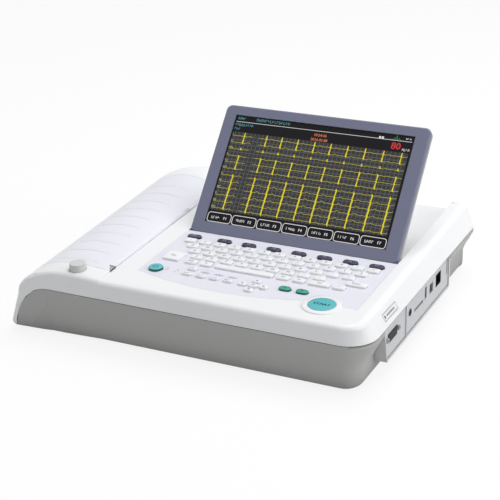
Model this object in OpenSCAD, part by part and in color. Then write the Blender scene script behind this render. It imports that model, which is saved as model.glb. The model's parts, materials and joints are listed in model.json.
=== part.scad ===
// Desktop ECG machine with a tilting display, a full keyboard and a wide paper recorder.
// Millimetres. +Z is up, +Y points to the rear. The origin is the middle of the footprint,
// on the surface that the feet stand on.

/* [Case] */
// Width over the widest part of the case
body_w = 420; // [400:1:460]
// Depth of the case
body_d = 360; // [350:1:400]
// Wall thickness of the two shells
wall_t = 3; // [2.5:0.1:3.5]
// Height of the seam between the shells
seam_h = 55.5; // [52:0.5:58]
// Gap at the seam
seam_gap = 0.2; // [0.1:0.05:0.3]
// Height of the deck at the front wall
deck_front_h = 76.2; // [75:0.1:80]
// Rise of the deck towards the rear, in degrees
deck_tilt = 1.4; // [1:0.1:2]
// Height of the paper bay's crest at its rear end
crest_h = 98.8; // [96:0.2:106]
// Corner radius at the front right
front_corner_r = 32; // [20:1:36]
// Corner radius at the rear right
rear_corner_r = 20; // [14:1:26]
// Corner radius on the left side
left_corner_r = 7; // [6:1:12]
// How far the base's front wall leans in at the bottom
front_lean = 7.5; // [4:0.5:9]
// Height of the rubber feet
foot_h = 3; // [2:0.5:4]
// Radius of the rubber feet
foot_r = 9; // [7:0.5:11]

/* [Keyboard] */
// Left edge of the keyboard and of the display
board_x0 = -67; // [-68:0.5:-66]
// Width of the keyboard and of the display well
board_w = 250; // [248:0.5:252]
// Thickness of the keyboard panel
panel_t = 2; // [1.5:0.1:2.4]
// Spacing of the letter keys
key_pitch = 18.05; // [17.9:0.05:18.2]
// Spacing of the key rows
row_pitch = 12.5; // [12.4:0.1:13]
// Width of a letter key
key_w = 13.2; // [12:0.1:13.6]
// Depth of a letter key
key_d = 9; // [8:0.1:9.2]
// Height of the keys above the panel
key_rise = 2.5; // [2:0.1:3]
// Gap around each key in the panel
key_gap = 0.35; // [0.3:0.05:0.45]
// Travel of the keys
key_travel = 1.2; // [0.8:0.1:1.4]
// Spacing of the function keys
function_pitch = 30; // [29:0.5:30]
// Radius of the START button
start_r = 14.3; // [12:0.1:15]
// Radius of the power button
power_r = 7.8; // [7:0.1:9]

/* [Display] */
// Height of the display housing
screen_h = 158.5; // [158:0.5:160]
// Thickness of the display housing
screen_t = 15; // [14:0.5:15.5]
// Angle of the display above the horizontal
screen_tilt = 48.6; // [45:0.1:50]
// Width of the screen opening
view_w = 218; // [210:0.5:220]
// Height of the screen opening
view_h = 133; // [128:0.5:135]
// Radius of the display's hinge pins
hinge_pin_r = 2; // [1.5:0.1:2.5]

/* [Recorder] */
// Radius of a full paper roll
roll_r = 24; // [15:0.5:24]
// Width of the paper
paper_w = 210; // [190:1:212]
// Radius of the rubber platen
platen_r = 6.5; // [6:0.1:7]
// Radius of the platen's shaft
platen_shaft_r = 2; // [1.8:0.1:2.4]
// Module of the two gears
gear_module = 0.8; // [0.7:0.05:0.8]
// Teeth of the platen gear
platen_teeth = 20; // [16:4:20]
// Teeth of the motor pinion
pinion_teeth = 12; // [8:4:12]
// Radius of the cover's release button
release_r = 8.8; // [7:0.1:9.5]
// Travel of the cover's release button
release_travel = 3; // [2:0.1:3.2]

/* [Sockets] */
// Spacing of the patient socket's jack posts
post_pitch = 33.3; // [33:0.1:33.5]
// Radius of the threaded holes in the jack posts
post_hole_r = 1.4; // [1.2:0.1:1.5]
// Radius of the earth post
earth_r = 3; // [2.5:0.1:3.2]
// Bore radius of the round signal jack
jack_bore_r = 1.8; // [1.7:0.1:2.2]

/* [Hidden] */
$fn = 48;
eps = 0.01;
arc_steps = 10;

// Case
front_y = -body_d / 2;
rear_y = body_d / 2;
left_x = -body_w / 2;
right_x = body_w / 2;
base_z = foot_h;                      // underside of the base
lean_x = 14;                          // how far the base's right wall stands in at the bottom
lean_z = [25, 45];                    // heights between which that wall slopes
rear_lean = 6;
shoulder_x = 7;                       // how far the right wall of the top shell leans in
shoulder_r = 10;
deck_front_r = 5;
deck_rear_r = 22;
leg_x = 12;                           // how far the left wall leans in up to leg_z
leg_z = 44;
leg_foot = [4, 5];                    // chamfer at the foot of the left wall
flare_x = [-192, -160];               // the base's front wall stands upright left of the first
seam_arch = [44.5, 8.5];              // width of the seam's arch, and of the white leg beside it
floor_z = base_z + wall_t;
boss_r = 4;
boss_split_z = 30;
screw_r = 1.5;
screw_head = [2.8, 2];
screw_gap = 0.1;
boss_spots = [
    [-80, front_y + 13], [60, front_y + 13], [right_x - 30, front_y + 25],
    [-50, rear_y - 15], [right_x - 45, rear_y - 20], [left_x + 30, rear_y - 20]
];
foot_spots = [for (x = [left_x + 35, right_x - 45], y = [front_y + 30, rear_y - 30]) [x, y]];
foot_plug = [4, 2.5];                   // radius and length of the plug that holds a foot

// Deck frame: x, distance from the front wall, height above the deck
function deck_z(y) = deck_front_h + tan(deck_tilt) * (y - front_y);

// Paper bay: stations from front to rear, each [y, height of the crest]
bay_x = -92;                          // right edge of the bay, where the paper comes out
crest_x = bay_x - 38;
crest_front_h = deck_front_h + 2.8;
bay_step = 2;                         // how far the bay's edge stands above the deck
bay_stations = [
    [front_y, crest_front_h - 5], [front_y + 4, crest_front_h], [rear_y - 75, crest_h],
    [rear_y - 35, crest_h - 8], [rear_y - 12, crest_h - 21.5], [rear_y, crest_h - 40]
];

// Keyboard
well_front_v = 156;                   // front wall of the display well, measured along the deck
panel_rear_v = well_front_v - 1.5;
panel_front_v = 41.5;
panel_bow_r = 300;                    // bowed front edge of the panel
panel_bow = [31, 25.5];
panel_gap = 0.15;
ledge_w = 3;
start_at = [147, 37];
start_ring = [start_r + 0.6, 20.5, 1.2];      // inner and outer radius, height
power_at = [-51, 51.5];
first_key = [-56.2, 124.2];           // front left corner of the first key of the number row
rows = [13, 12, 11, 9];
mat_n = -5;                           // top of the key mat, seen from the deck
mat_t = 1.5;
key_foot = 0.25;                      // a raised key stays this far above the pressed level
board_t = 1.6;
flange_w = 0.9;                       // a key is held under the panel by a flange this wide
deck_key_t = 3;
function_at = [-51, 140];
function_size = [17, 8];
function_gap = 7.5;                   // extra space after the first function key
copy_at = [98, 56];
copy_size = [13.4, 8.6];
copy_pitch = 19.3;
menu_at = [-13, 50.5];
menu_pitch = 16;
menu_size = [11.3, 6];
menu_back = 12.5;                     // distance to the single key behind the row of menu keys
cursor_at = [64.5, 50];
cursor_step = [12.2, 10.6];
cursor_size = [10, 7];
wide_key_w = 22.6;
enter_w = 22.4;
escape_at = [-57, 75];
escape_size = [20, 20];

// Display
well_depth = screen_t + 2;
well_gap = 0.5;
hinge_drop = 9.5;                     // depth of the hinge below the deck
fold = screen_tilt - deck_tilt;       // angle from the deck to the display
hinge_back = hinge_drop * tan(fold / 2);      // how far the hinge is behind the display's face line
hinge_v = well_front_v + 0.8 + hinge_back;
hinge_y = front_y + hinge_v * cos(deck_tilt) + hinge_drop * sin(deck_tilt);
hinge_z = deck_front_h + hinge_v * sin(deck_tilt) - hinge_drop * cos(deck_tilt);
screen_w = board_w - 1;
screen_x = board_x0 + board_w / 2;
view_low = 13.4;                      // frame below the screen opening
front_t = 5;
skin_t = 2.2;
screen_corner_r = 6;
hinge_barrel_r = 4;
hinge_fit = 0.05;
hinge_pin_l = 16;
pin_seat = 4.9;                       // length of a hinge pin inside the case
knuckle_w = 34;
cap_t = 0.7;
view_left = 14.9;                     // frame left of the screen opening

// Recorder
cover_t = 2.5;
cover_y = [-155, 95];
cover_gap = 0.4;
cover_axis = [left_x + leg_x + 1.8, 48];      // x and z of the cover's hinge
cover_low_z = cover_axis[1] + 1.6;    // lower edge of the cover on the left wall
cover_sill_z = cover_axis[1] - 1.2;   // top of the wall below it
knuckle_r = 1.6;
knuckle_y = [-125, -30, 65];
knuckle_l = 8;
cover_pin_r = 0.8;
skirt_z = 66.5;
skirt_t = 2;
skirt_x = [-165, bay_x - 8];
groove_count = 10;
groove_pitch = 22.6;
groove_y0 = -146;
groove_w = 1.4;
groove_t = 0.7;
groove_x = [-143, -108];
notch = [9, 16];                      // finger notch at the front of the paper exit
platen_x = bay_x - 9;
platen_z = 64.5;
roll_x = -145;
roll_z = 48;
spindle_r = 6;
spindle_journal_r = 3;
run_fit = 0.06;
spindle_slack = 0.5;
chassis_x = [-178, -79];
chassis_t = 2.5;
trough_gap = 3;
beam_z = [50, 55.7];
beam_x = -94.5;
cheek_y = [-149.5, 84];               // middle planes of the chassis cheeks
cheek_t = 3;
cheek_top_z = 60;
ear_y = [-144.5, 73];                 // middle planes of the cover's two ears
ear_t = 3;
ear_r = 4.5;
gear_w = 5;
gear_y = 76;
paper_y0 = ear_y[0] + 3.5;
head_y = [paper_y0 + 1, paper_y0 + paper_w - 1];
tear_v = [30, 250];
motor_size = [28, 22];
motor_shaft_r = 1.5;
motor_shaft_l = 6;                    // length of the shaft inside the motor
head_gap = 0.3;
head_t = 3;
head_z = [beam_z[1], 71];
sink_t = 4;
head_spring_r = 3;
pinion_z = platen_z - gear_module * (platen_teeth + pinion_teeth) / 2 - 0.2;
release_at = [-125, -166];
release_top_z = deck_front_h + 10.5;
release_gap = 0.3;
release_low_z = 70.5;
stem_r = 2;
latch_axis = [-160, 61];              // y and z of the latch's pivot
latch_x = [-128, -104];
latch_t = 2;                          // the release button's stem stands this far above the pivot
latch_pin_r = 1.2;
nose_z = [69, 71.5];
nose_gap = 0.05;                      // between the latch's nose and the cover's skirt
shelf_z = [release_low_z - release_travel - 3.2, release_low_z - release_travel - 1.7];
shelf_w = 8;

// Sockets
panel_x = right_x - 0.8;              // face of the side connector panel
panel_y = [-131, 78.5];
panel_low_z = 15.5;
panel_top_z = seam_h - 0.6;
field_depth = 1.5;
rim_w = 2.5;
divider_y = -64;
plate_t = 4;
patient_at = [-103.5, 39];            // y and z of each socket
signal_at = [-50.4, 39.8];
card_at = [-22.5, 35];
upright_at = [0, 41];
square_at = [18.5, 39];
network_at = [42, 40];
patient_size = [26, 9.5];
card_size = [27, 3.2];
upright_size = [5.5, 13];
square_size = [11, 10.5];
network_size = [15.5, 13];
socket_gap = 0.2;
socket_depth = 14;

// Mains corner, in a pocket of the rear wall
pocket_x = [-170, -66];
pocket_z = [12, 46];
pocket_depth = 16;
inlet_at = [-95, 29];
inlet_size = [28, 20];
switch_at = [-126, 29];
switch_size = [9, 16.8];
switch_pivot = [-1.2, 0.9, 1.5];      // depth, radius and length of the rocker's axle stubs
rocker_swing = 8;
fuse_size = [8.6, 19.6];
fuse_at = [-145, 29];
earth_at = [-160, 29];

// Inside the base
battery_box = [[30, -140, floor_z], [130, -70, 30]];
speaker_at = [150, 96];
speaker_r = 20;
board_posts = [[-50, -50], [170, -50], [-50, 68], [170, 68]];
board_z = 14;

function arc(c, r, from, to, n = arc_steps) =
    [for (i = [0:n]) let (a = from + (to - from) * i / n) [c[0] + r * cos(a), c[1] + r * sin(a)]];

// ---- helpers ----

module on_deck() { translate([0, front_y, deck_front_h]) rotate([deck_tilt, 0, 0]) children(); }

// Puts a shape drawn in X and Z between two distances along Y
module along_y(y0, y1) { translate([0, y1, 0]) rotate([90, 0, 0]) linear_extrude(y1 - y0) children(); }

// Puts a shape drawn in Y and Z between two distances along X
module along_x(x0, x1) { translate([x0, 0, 0]) rotate([90, 0, 90]) linear_extrude(x1 - x0) children(); }

module box_between(a, b) { translate(a) cube([b[0] - a[0], b[1] - a[1], b[2] - a[2]]); }

module rounded_rect(size, r) {
    translate([r, 0]) square([size[0] - 2 * r, size[1]]);
    translate([0, r]) square([size[0], size[1] - 2 * r]);
    for (x = [r, size[0] - r], y = [r, size[1] - r]) translate([x, y]) circle(r);
}

module gear(teeth, width, bore) {
    pitch_r = gear_module * teeth / 2;
    root_r = pitch_r - 1.25 * gear_module;
    tip_r = pitch_r + 0.9 * gear_module;
    root_a = 120 / teeth;
    tip_a = 42 / teeth;
    linear_extrude(width) difference() {
        union() {
            circle(root_r);
            for (i = [0:teeth - 1]) rotate(360 * i / teeth) polygon([
                [(root_r - 0.3) * cos(root_a), -root_r * sin(root_a)],
                [tip_r * cos(tip_a), -tip_r * sin(tip_a)],
                [tip_r * cos(tip_a), tip_r * sin(tip_a)],
                [(root_r - 0.3) * cos(root_a), root_r * sin(root_a)]
            ]);
        }
        circle(bore);
    }
}

// ---- case form: the solid shape of the closed case, drawn inset by a wall ----

module plan_form(i) {
    f = front_corner_r - i;
    b = rear_corner_r - i;
    l = left_corner_r - i;
    polygon(concat(
        arc([right_x - i - f, front_y + i + f], f, -90, 0),
        arc([right_x - i - b, rear_y - i - b], b, 0, 90),
        arc([left_x + i + l, rear_y - i - l], l, 90, 180),
        arc([left_x + i + l, front_y + i + l], l, 180, 270)
    ));
}

module front_form(i) {
    top_z = crest_h;
    polygon([
        [left_x + leg_foot[0] + i, base_z + i], [right_x - lean_x - 3 - i, base_z + i],
        [right_x - lean_x - i, base_z + 3 + i], [right_x - lean_x - i, lean_z[0]],
        [right_x - 3 - i, lean_z[1]], [right_x - i, lean_z[1] + 6], [right_x - i, top_z],
        [left_x + leg_x + 33 + i, top_z], [left_x + leg_x + 33 + i, leg_z + 32],
        [left_x + leg_x + i, leg_z], [left_x + i, base_z + leg_foot[1]]
    ]);
}

module side_form(i) {
    polygon(concat(
        [[front_y + front_lean + i, base_z + i], [rear_y - rear_lean - i, base_z + i],
         [rear_y - rear_lean - i, lean_z[0]], [rear_y - i, lean_z[1]], [rear_y - i, seam_h]],
        arc([rear_y - deck_rear_r, deck_z(rear_y - deck_rear_r) - deck_rear_r + 0.2],
            deck_rear_r - i, 0, 90),
        arc([front_y + deck_front_r, deck_z(front_y + deck_front_r) - deck_front_r + 0.2],
            deck_front_r - i, 90, 180, 5),
        [[front_y + i, seam_h]]
    ));
}

module deck_form(i) {
    r = shoulder_r - i;
    lean = atan(shoulder_x / (deck_front_h - seam_h - shoulder_r));
    on_deck() along_y(-20, body_d + 20) polygon(concat(
        [[left_x - 5, -body_d / 2], [right_x - i, -body_d / 2],
         [right_x - i, seam_h - deck_front_h + 1]],
        arc([right_x - shoulder_x - shoulder_r, -shoulder_r], r, lean, 90, 6),
        [[left_x - 5, -i]]
    ));
}

function bay_points(y, crest, i) =
    let (edge = min(deck_z(y) + bay_step, crest - 2), rx = crest_x - (left_x + leg_x) - i,
        rz = crest - leg_z - i)
    concat(
        [[left_x + leg_foot[0] + i, base_z + i], [left_x + i, base_z + leg_foot[1]]],
        [for (k = [0:arc_steps]) let (a = 180 - 90 * k / arc_steps)
            [crest_x + rx * cos(a), leg_z + rz * sin(a)]],
        [for (k = [1:6]) let (t = k / 6)
            [crest_x + (bay_x - crest_x) * t - i * t, crest - i - (crest - edge) * t * t]],
        [[bay_x - i, base_z + i]]
    );

module bay_form(i) {
    squeeze = (body_d / 2 - i) / (body_d / 2);
    intersection() {
        hull() for (s = bay_stations)
            translate([0, s[0] * squeeze, 0]) rotate([90, 0, 0])
                linear_extrude(0.02, center = true) polygon(bay_points(s[0], s[1], i));
        union() {
            along_x(left_x - 1, bay_x + 1) polygon([
                [front_y + front_lean + i, base_z], [rear_y - rear_lean - i, base_z],
                [rear_y - rear_lean - i, lean_z[0]], [rear_y - i, lean_z[1]], [rear_y - i, crest_h + 1],
                [front_y + i, crest_h + 1], [front_y + i, seam_h]
            ]);
            hull() {
                box_between([left_x - 1, front_y + i, base_z], [flare_x[0], front_y + 50, crest_h]);
                along_x(flare_x[1], flare_x[1] + 1) polygon([
                    [front_y + front_lean + i, base_z], [front_y + 50, base_z], [front_y + 50, crest_h],
                    [front_y + i, crest_h], [front_y + i, seam_h]
                ]);
            }
        }
    }
}

module case_form(i) {
    intersection() {
        translate([0, 0, base_z + i]) linear_extrude(crest_h) plan_form(i);
        union() {
            intersection() {
                along_y(front_y, rear_y) front_form(i);
                along_x(left_x, right_x) side_form(i);
                deck_form(i);
            }
            bay_form(i);
        }
    }
}

// Everything below the seam, which runs level and turns down in an arch beside the left leg
module below_seam(gap) {
    arch_x = left_x + seam_arch[1];
    along_y(front_y - 1, rear_y + 1) polygon(concat(
        [[right_x + 1, 0], [right_x + 1, seam_h - gap], [arch_x + seam_arch[0], seam_h - gap]],
        [for (k = [1:2 * arc_steps]) let (a = 90 + 90 * k / (2 * arc_steps))
            [arch_x + seam_arch[0] + (seam_arch[0] - gap) * cos(a), (seam_h - gap) * sin(a)]]
    ));
}

// ---- openings shared by several pieces ----

module display_well(i) {
    on_deck() box_between(
        [board_x0 - well_gap - i, well_front_v - i, -well_depth - i],
        [board_x0 + board_w + well_gap + i, body_d + 10, 30]);
}

module panel_outline(grow) {
    difference() {
        union() {
            translate([board_x0 - grow, panel_front_v - grow])
                square([board_w + 2 * grow, panel_rear_v - panel_front_v + 2 * grow]);
            intersection() {
                translate([panel_bow[0], panel_bow[1] + panel_bow_r]) circle(panel_bow_r + grow, $fn = 180);
                translate([board_x0 - grow, panel_bow[1] - 5])
                    square([start_at[0] - board_x0, panel_front_v - panel_bow[1] + 10]);
            }
        }
        translate(start_at) circle(start_ring[1] - grow);
    }
}

function row_x(r) = first_key[0] + key_pitch * r / 2;
function row_v(r) = first_key[1] - row_pitch * r;

// Each group of keys as a 2D outline in the deck plane, grown by a gap
module key_cell(x, v, w, g, d = key_d) {
    translate([x - g, v - g]) rounded_rect([w + 2 * g, d + 2 * g], 2 + g);
}

module key_row(r, g) { for (k = [0:rows[r] - 1]) key_cell(row_x(r) + k * key_pitch, row_v(r), key_w, g); }

module pill(at, size, g) {
    translate(at) {
        square([size[0] - size[1], size[1] + 2 * g], center = true);
        for (s = [-1, 1]) translate([s * (size[0] - size[1]) / 2, 0]) circle(size[1] / 2 + g);
    }
}

module function_cells(g) {
    for (k = [0:7])
        pill([function_at[0] + k * function_pitch + (k > 0 ? function_gap : 0), function_at[1]],
            function_size, g);
}

module copy_cells(g) { for (k = [0, 1]) pill([copy_at[0] + copy_pitch * k, copy_at[1]], copy_size, g); }

module menu_cells(g) {
    for (k = [0:3]) pill([menu_at[0] + k * menu_pitch, menu_at[1]], menu_size, g);
    pill([menu_at[0], menu_at[1] + menu_back], menu_size, g);
}

module cursor_cells(g) {
    for (s = [[0, 0], [1, 0], [-1, 0], [0, 1], [0, -1]])
        pill([cursor_at[0] + s[0] * cursor_step[0], cursor_at[1] + s[1] * cursor_step[1]], cursor_size, g);
}

bottom_row_v = row_v(4);
bottom_row_x = row_x(3);

module modifier_cells(g) {
    for (k = [0, 1, 6, 7]) key_cell(bottom_row_x + k * key_pitch, bottom_row_v, key_w, g);
    key_cell(bottom_row_x + 8 * key_pitch, bottom_row_v, wide_key_w, g);
    key_cell(bottom_row_x + 8 * key_pitch + wide_key_w + 4, bottom_row_v, key_w, g);
}

module space_cell(g) { key_cell(bottom_row_x + 2 * key_pitch, bottom_row_v, 3 * key_pitch + key_w, g); }

module enter_cell(g) { key_cell(bottom_row_x + 10 * key_pitch, row_v(3), enter_w, g); }

module escape_cell(g) { key_cell(escape_at[0], escape_at[1], escape_size[0], g, escape_size[1]); }

module all_cells(g) {
    for (r = [0:3]) key_row(r, g);
    function_cells(g);
    copy_cells(g);
    menu_cells(g);
    cursor_cells(g);
    modifier_cells(g);
    space_cell(g);
    enter_cell(g);
    escape_cell(g);
    translate(power_at) circle(power_r + g);
}

// Puts an outline in the deck plane between two heights
module deck_slab(n0, n1) { on_deck() translate([0, 0, n0]) linear_extrude(n1 - n0) children(); }

key_low = mat_n + key_travel + key_foot;

// ---- case ----

module case_posts(z0, z1, r) {
    for (p = boss_spots) translate([p[0], p[1], z0]) cylinder(h = z1 - z0, r = r);
}

module cover_opening() {
    box_between([left_x - 1, cover_y[0], cover_sill_z], [bay_x, cover_y[1], crest_h + 5]);
}

module knuckles(shift, r, l = knuckle_l) {
    for (y = knuckle_y) translate([cover_axis[0], y + shift, cover_axis[1]]) rotate([-90, 0, 0])
        cylinder(h = l, r = r);
}

module latch_lugs() {
    for (x = [latch_x[0] - 4, latch_x[1] + 1.5])
        box_between([x, front_y + 1, latch_axis[1] - 4], [x + 2.5, latch_axis[0] + 3.5, latch_axis[1] + 4]);
    box_between([release_at[0] - shelf_w, front_y + 1, shelf_z[0]],
        [release_at[0] + shelf_w, latch_axis[0] - 1.5, shelf_z[1]]);
}

module hinge_line(x0, x1, r) {
    translate([x0, hinge_y, hinge_z]) rotate([0, 90, 0]) cylinder(h = x1 - x0, r = r);
}

module hinge_sockets(r, l) {
    hinge_line(board_x0 - well_gap - l, board_x0 - well_gap + eps, r);
    hinge_line(board_x0 + board_w + well_gap - eps, board_x0 + board_w + well_gap + l, r);
}

module top_shell() color("white") {
    difference() {
        union() {
            difference() {
                case_form(0);
                difference() {
                    case_form(wall_t);
                    display_well(wall_t);
                    case_posts(boss_split_z, crest_h + 5, boss_r);
                    latch_lugs();
                    hinge_sockets(hinge_barrel_r, hinge_pin_l / 2 - 1);
                    deck_slab(mat_n - mat_t, 0) panel_outline(1);
                }
            }
            on_deck() translate([start_at[0], start_at[1], -eps])
                cylinder(h = start_ring[2], r = start_ring[1]);
        }
        below_seam(0);
        difference() {
            cover_opening();
            knuckles(-knuckle_l - 0.2, knuckle_r);
        }
        knuckles(-0.1, knuckle_r + 0.3, knuckle_l + 0.4);
        knuckles(-knuckle_l - 1, cover_pin_r + 0.02, knuckle_l + 2);
        display_well(0);
        hinge_sockets(hinge_pin_r, hinge_pin_l / 2 - 3);
        on_deck() {
            translate([start_at[0], start_at[1], -20]) cylinder(h = 40, r = start_r + key_gap);
        }
        deck_slab(-panel_t, 10) panel_outline(panel_gap);
        deck_slab(-20, 10) panel_outline(-ledge_w);
        case_posts(boss_split_z - 1, boss_split_z + 14, screw_r + screw_gap);
        translate([release_at[0], release_at[1], release_low_z - 1])
            cylinder(h = 30, r = release_r + release_gap);
        translate([release_at[0], release_at[1], shelf_z[0] - 1])
            cylinder(h = 10, r = stem_r + release_gap);
        translate([latch_x[0] - 6, latch_axis[0], latch_axis[1]]) rotate([0, 90, 0])
            cylinder(h = latch_x[1] - latch_x[0] + 12, r = latch_pin_r);
    }
}

module wall_pocket(i) {
    box_between([pocket_x[0] - i, rear_y - pocket_depth - i, pocket_z[0] - i],
        [pocket_x[1] + i, rear_y + 5, pocket_z[1] + i]);
}

// Outline of the side connector panel, drawn in Y and Z
module panel_side(g, low = panel_low_z, top = panel_top_z) {
    lean = 9 / (panel_top_z - panel_low_z);
    polygon([
        [panel_y[0] - g - lean * (top - panel_top_z), top],
        [panel_y[0] + 9 - g + lean * (panel_low_z - low + g), low - g],
        [panel_y[1] + g, low - g], [panel_y[1] + g, top]
    ]);
}

module bottom_shell() color("darkgray") difference() {
    intersection() {
        difference() {
            case_form(0);
            difference() {
                case_form(wall_t);
                wall_pocket(wall_t - 0.5);
                case_posts(0, boss_split_z - 0.2, boss_r);
                for (p = board_posts) translate([p[0], p[1], 0]) cylinder(h = board_z, r = 3);
                box_between([battery_box[0][0] - 3, battery_box[0][1] - 3, 0],
                    [battery_box[1][0] + 3, battery_box[1][1] + 3, battery_box[1][2] - 4]);
            }
        }
        below_seam(seam_gap);
    }
    wall_pocket(0);
    along_x(right_x - 25, right_x + 1) panel_side(0.2, panel_low_z, seam_h + 5);
    case_posts(-1, boss_split_z + 1, screw_r + screw_gap);
    case_posts(-1, base_z + screw_head[1] + 1, screw_head[0] + 0.3);
    for (p = foot_spots) translate([p[0], p[1], 0]) cylinder(h = 10, r = foot_plug[0]);
    box_between([battery_box[0][0] - 0.5, battery_box[0][1] - 0.5, 0],
        [battery_box[1][0] + 0.5, battery_box[1][1] + 0.5, battery_box[1][2]]);
    for (a = [0:60:300], r = [6, 13])
        translate([speaker_at[0] + r * cos(a), speaker_at[1] + r * sin(a), 0]) cylinder(h = 10, r = 1.5);
    socket_holes(pocket_depth + 4);
}

module battery_cover() color("darkgray")
    box_between([battery_box[0][0], battery_box[0][1], base_z],
        [battery_box[1][0], battery_box[1][1], floor_z - 0.2]);

module rubber_feet() color("dimgray") for (p = foot_spots) translate([p[0], p[1], 0]) {
    cylinder(h = foot_h, r1 = foot_r - 1, r2 = foot_r);
    cylinder(h = foot_h + foot_plug[1], r = foot_plug[0] - 0.1);
}

module case_screws() color("silver") for (p = boss_spots) translate([p[0], p[1], base_z + 1]) {
    cylinder(h = screw_head[1], r = screw_head[0]);
    cylinder(h = boss_split_z + 12 - base_z, r = screw_r);
}

// ---- side sockets ----

// Places a shape on the face of the side connector panel: Y to the right, Z up, X out
module on_panel(at, back = 0) {
    translate([panel_x - field_depth - back, at[0], at[1]]) rotate([90, 0, 90]) children();
}

module rect_cell(size, g) { square([size[0] + 2 * g, size[1] + 2 * g], center = true); }

module patient_outline(g) {
    w = patient_size[0] / 2 + g;
    h = patient_size[1] / 2 + g;
    polygon([[-w, h], [-w + 1.5, -h], [w - 1.5, -h], [w, h]]);
}

module connector_panel() color("lightgray") difference() {
    along_x(right_x - 17, panel_x) panel_side(0);
    difference() {
        along_x(right_x - 18, panel_x - plate_t) panel_side(-rim_w);
    }
    along_x(panel_x - field_depth, panel_x + 1) intersection() {
        panel_side(-rim_w, panel_low_z, panel_top_z + 3);
        difference() {
            translate([panel_y[0], 0]) square([panel_y[1] - panel_y[0], seam_h + 10]);
            translate([divider_y - 1, 0]) square([2, seam_h + 10]);
        }
    }
    on_panel(patient_at, plate_t) linear_extrude(10) patient_outline(socket_gap);
    for (s = [-1, 1]) on_panel([patient_at[0] + s * post_pitch / 2, patient_at[1]], plate_t)
        cylinder(h = 10, r = 2);
    on_panel(signal_at, plate_t) cylinder(h = 10, r = 4 + socket_gap);
    on_panel(card_at, plate_t) linear_extrude(10) rect_cell(card_size, 0.3);
    for (c = [[upright_at, upright_size], [square_at, square_size], [network_at, network_size]])
        on_panel(c[0], plate_t) linear_extrude(10) rect_cell(c[1], 1 + socket_gap);
}

module patient_socket() color("black") {
    on_panel(patient_at, 9) difference() {
        union() {
            linear_extrude(10) patient_outline(0);
            translate([0, 0, 2]) linear_extrude(4) rect_cell([39, 12], 0);
        }
        for (k = [0:7]) translate([-9.6 + k * 2.74, 1.4, 5]) cylinder(h = 10, r = 0.6);
        for (k = [0:6]) translate([-8.2 + k * 2.74, -1.4, 5]) cylinder(h = 10, r = 0.6);
        for (s = [-1, 1]) translate([s * post_pitch / 2, 0, -1]) cylinder(h = 20, r = 1.95);
    }
}

module jack_posts() color("silver") for (s = [-1, 1])
    on_panel([patient_at[0] + s * post_pitch / 2, patient_at[1]], 8) difference() {
        union() {
            cylinder(h = 8 + eps, r = 1.9);
            translate([0, 0, 8]) cylinder(h = 2.2, r = 2.9, $fn = 6);
        }
        translate([0, 0, 2]) cylinder(h = 20, r = post_hole_r);
    }

module signal_jack() color("black") on_panel(signal_at, 14) difference() {
    union() {
        translate([-5.5, -5.5, 0]) cube([11, 11, 11.3]);
        cylinder(h = 14.5, r = 4);
    }
    translate([0, 0, 2]) cylinder(h = 20, r = jack_bore_r);
}

module card_socket() color("silver") on_panel(card_at, 24) difference() {
    translate([0, 0, 0]) linear_extrude(21.3) rect_cell(card_size, 1.2);
    translate([0, 0, 2]) linear_extrude(30) rect_cell(card_size, 0);
}

module socket_can(size, depth) difference() {
    linear_extrude(depth) rect_cell(size, 1);
    translate([0, 0, 1.5]) linear_extrude(depth) rect_cell(size, 0);
}

module data_sockets() {
    color("silver") on_panel(upright_at, socket_depth) {
        socket_can(upright_size, socket_depth);
        translate([0.6, 0, 1.5 - eps]) linear_extrude(socket_depth - 4)
            square([1.8, upright_size[1] - 2.5], center = true);
    }
    color("black") on_panel(square_at, socket_depth) {
        socket_can(square_size, socket_depth);
        translate([0, 0, 1.5 - eps]) linear_extrude(socket_depth - 4) square([5.6, 3.2], center = true);
    }
}

module network_socket() color("black") on_panel(network_at, socket_depth + 2)
    socket_can(network_size, socket_depth + 2);

// ---- mains corner ----

// Places a shape in the back wall of the pocket: X to the left seen from behind, Z up, Y out
module on_pocket(at) { translate([at[0], rear_y - pocket_depth, at[1]]) rotate([90, 0, 180]) children(); }

module socket_holes(depth) {
    for (c = [[inlet_at, inlet_size], [switch_at, switch_size]])
        on_pocket(c[0]) translate([0, 0, -depth]) linear_extrude(depth + 1) rect_cell(c[1], socket_gap);
    on_pocket(switch_at) translate([0, 0, switch_pivot[0]]) rotate([0, 90, 0])
        cylinder(h = switch_size[0] + 2 * switch_pivot[2] + 0.6, r = switch_pivot[1] + run_fit,
            center = true);
    on_pocket(fuse_at) translate([0, 0, -depth]) linear_extrude(depth + 1) rect_cell(fuse_size, socket_gap);
    on_pocket(earth_at) translate([0, 0, -depth]) cylinder(h = depth + 1, r = 2.1);
}

module mains_inlet() color("black") on_pocket(inlet_at) {
    difference() {
        union() {
            translate([0, 0, -18]) linear_extrude(18.5) rect_cell(inlet_size, 0);
            linear_extrude(1.5) rect_cell([inlet_size[0] + 3, inlet_size[1] + 6], 0);
        }
        translate([0, 0, -16]) linear_extrude(20) intersection() {
            rect_cell([24, 16.5], 0);
            rotate(45) rect_cell([22.5, 22.5], 0);
        }
    }
    for (p = [[-7, -1.5], [7, -1.5], [0, 2.5]])
        translate([p[0], p[1], -16 - eps]) linear_extrude(10) square([2, 4], center = true);
}

module fuse_drawer() color("dimgray") on_pocket(fuse_at) {
    translate([0, 0, -14]) linear_extrude(15) rect_cell(fuse_size, 0);
    linear_extrude(1.5) rect_cell(fuse_size, 0.8);
}

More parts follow.
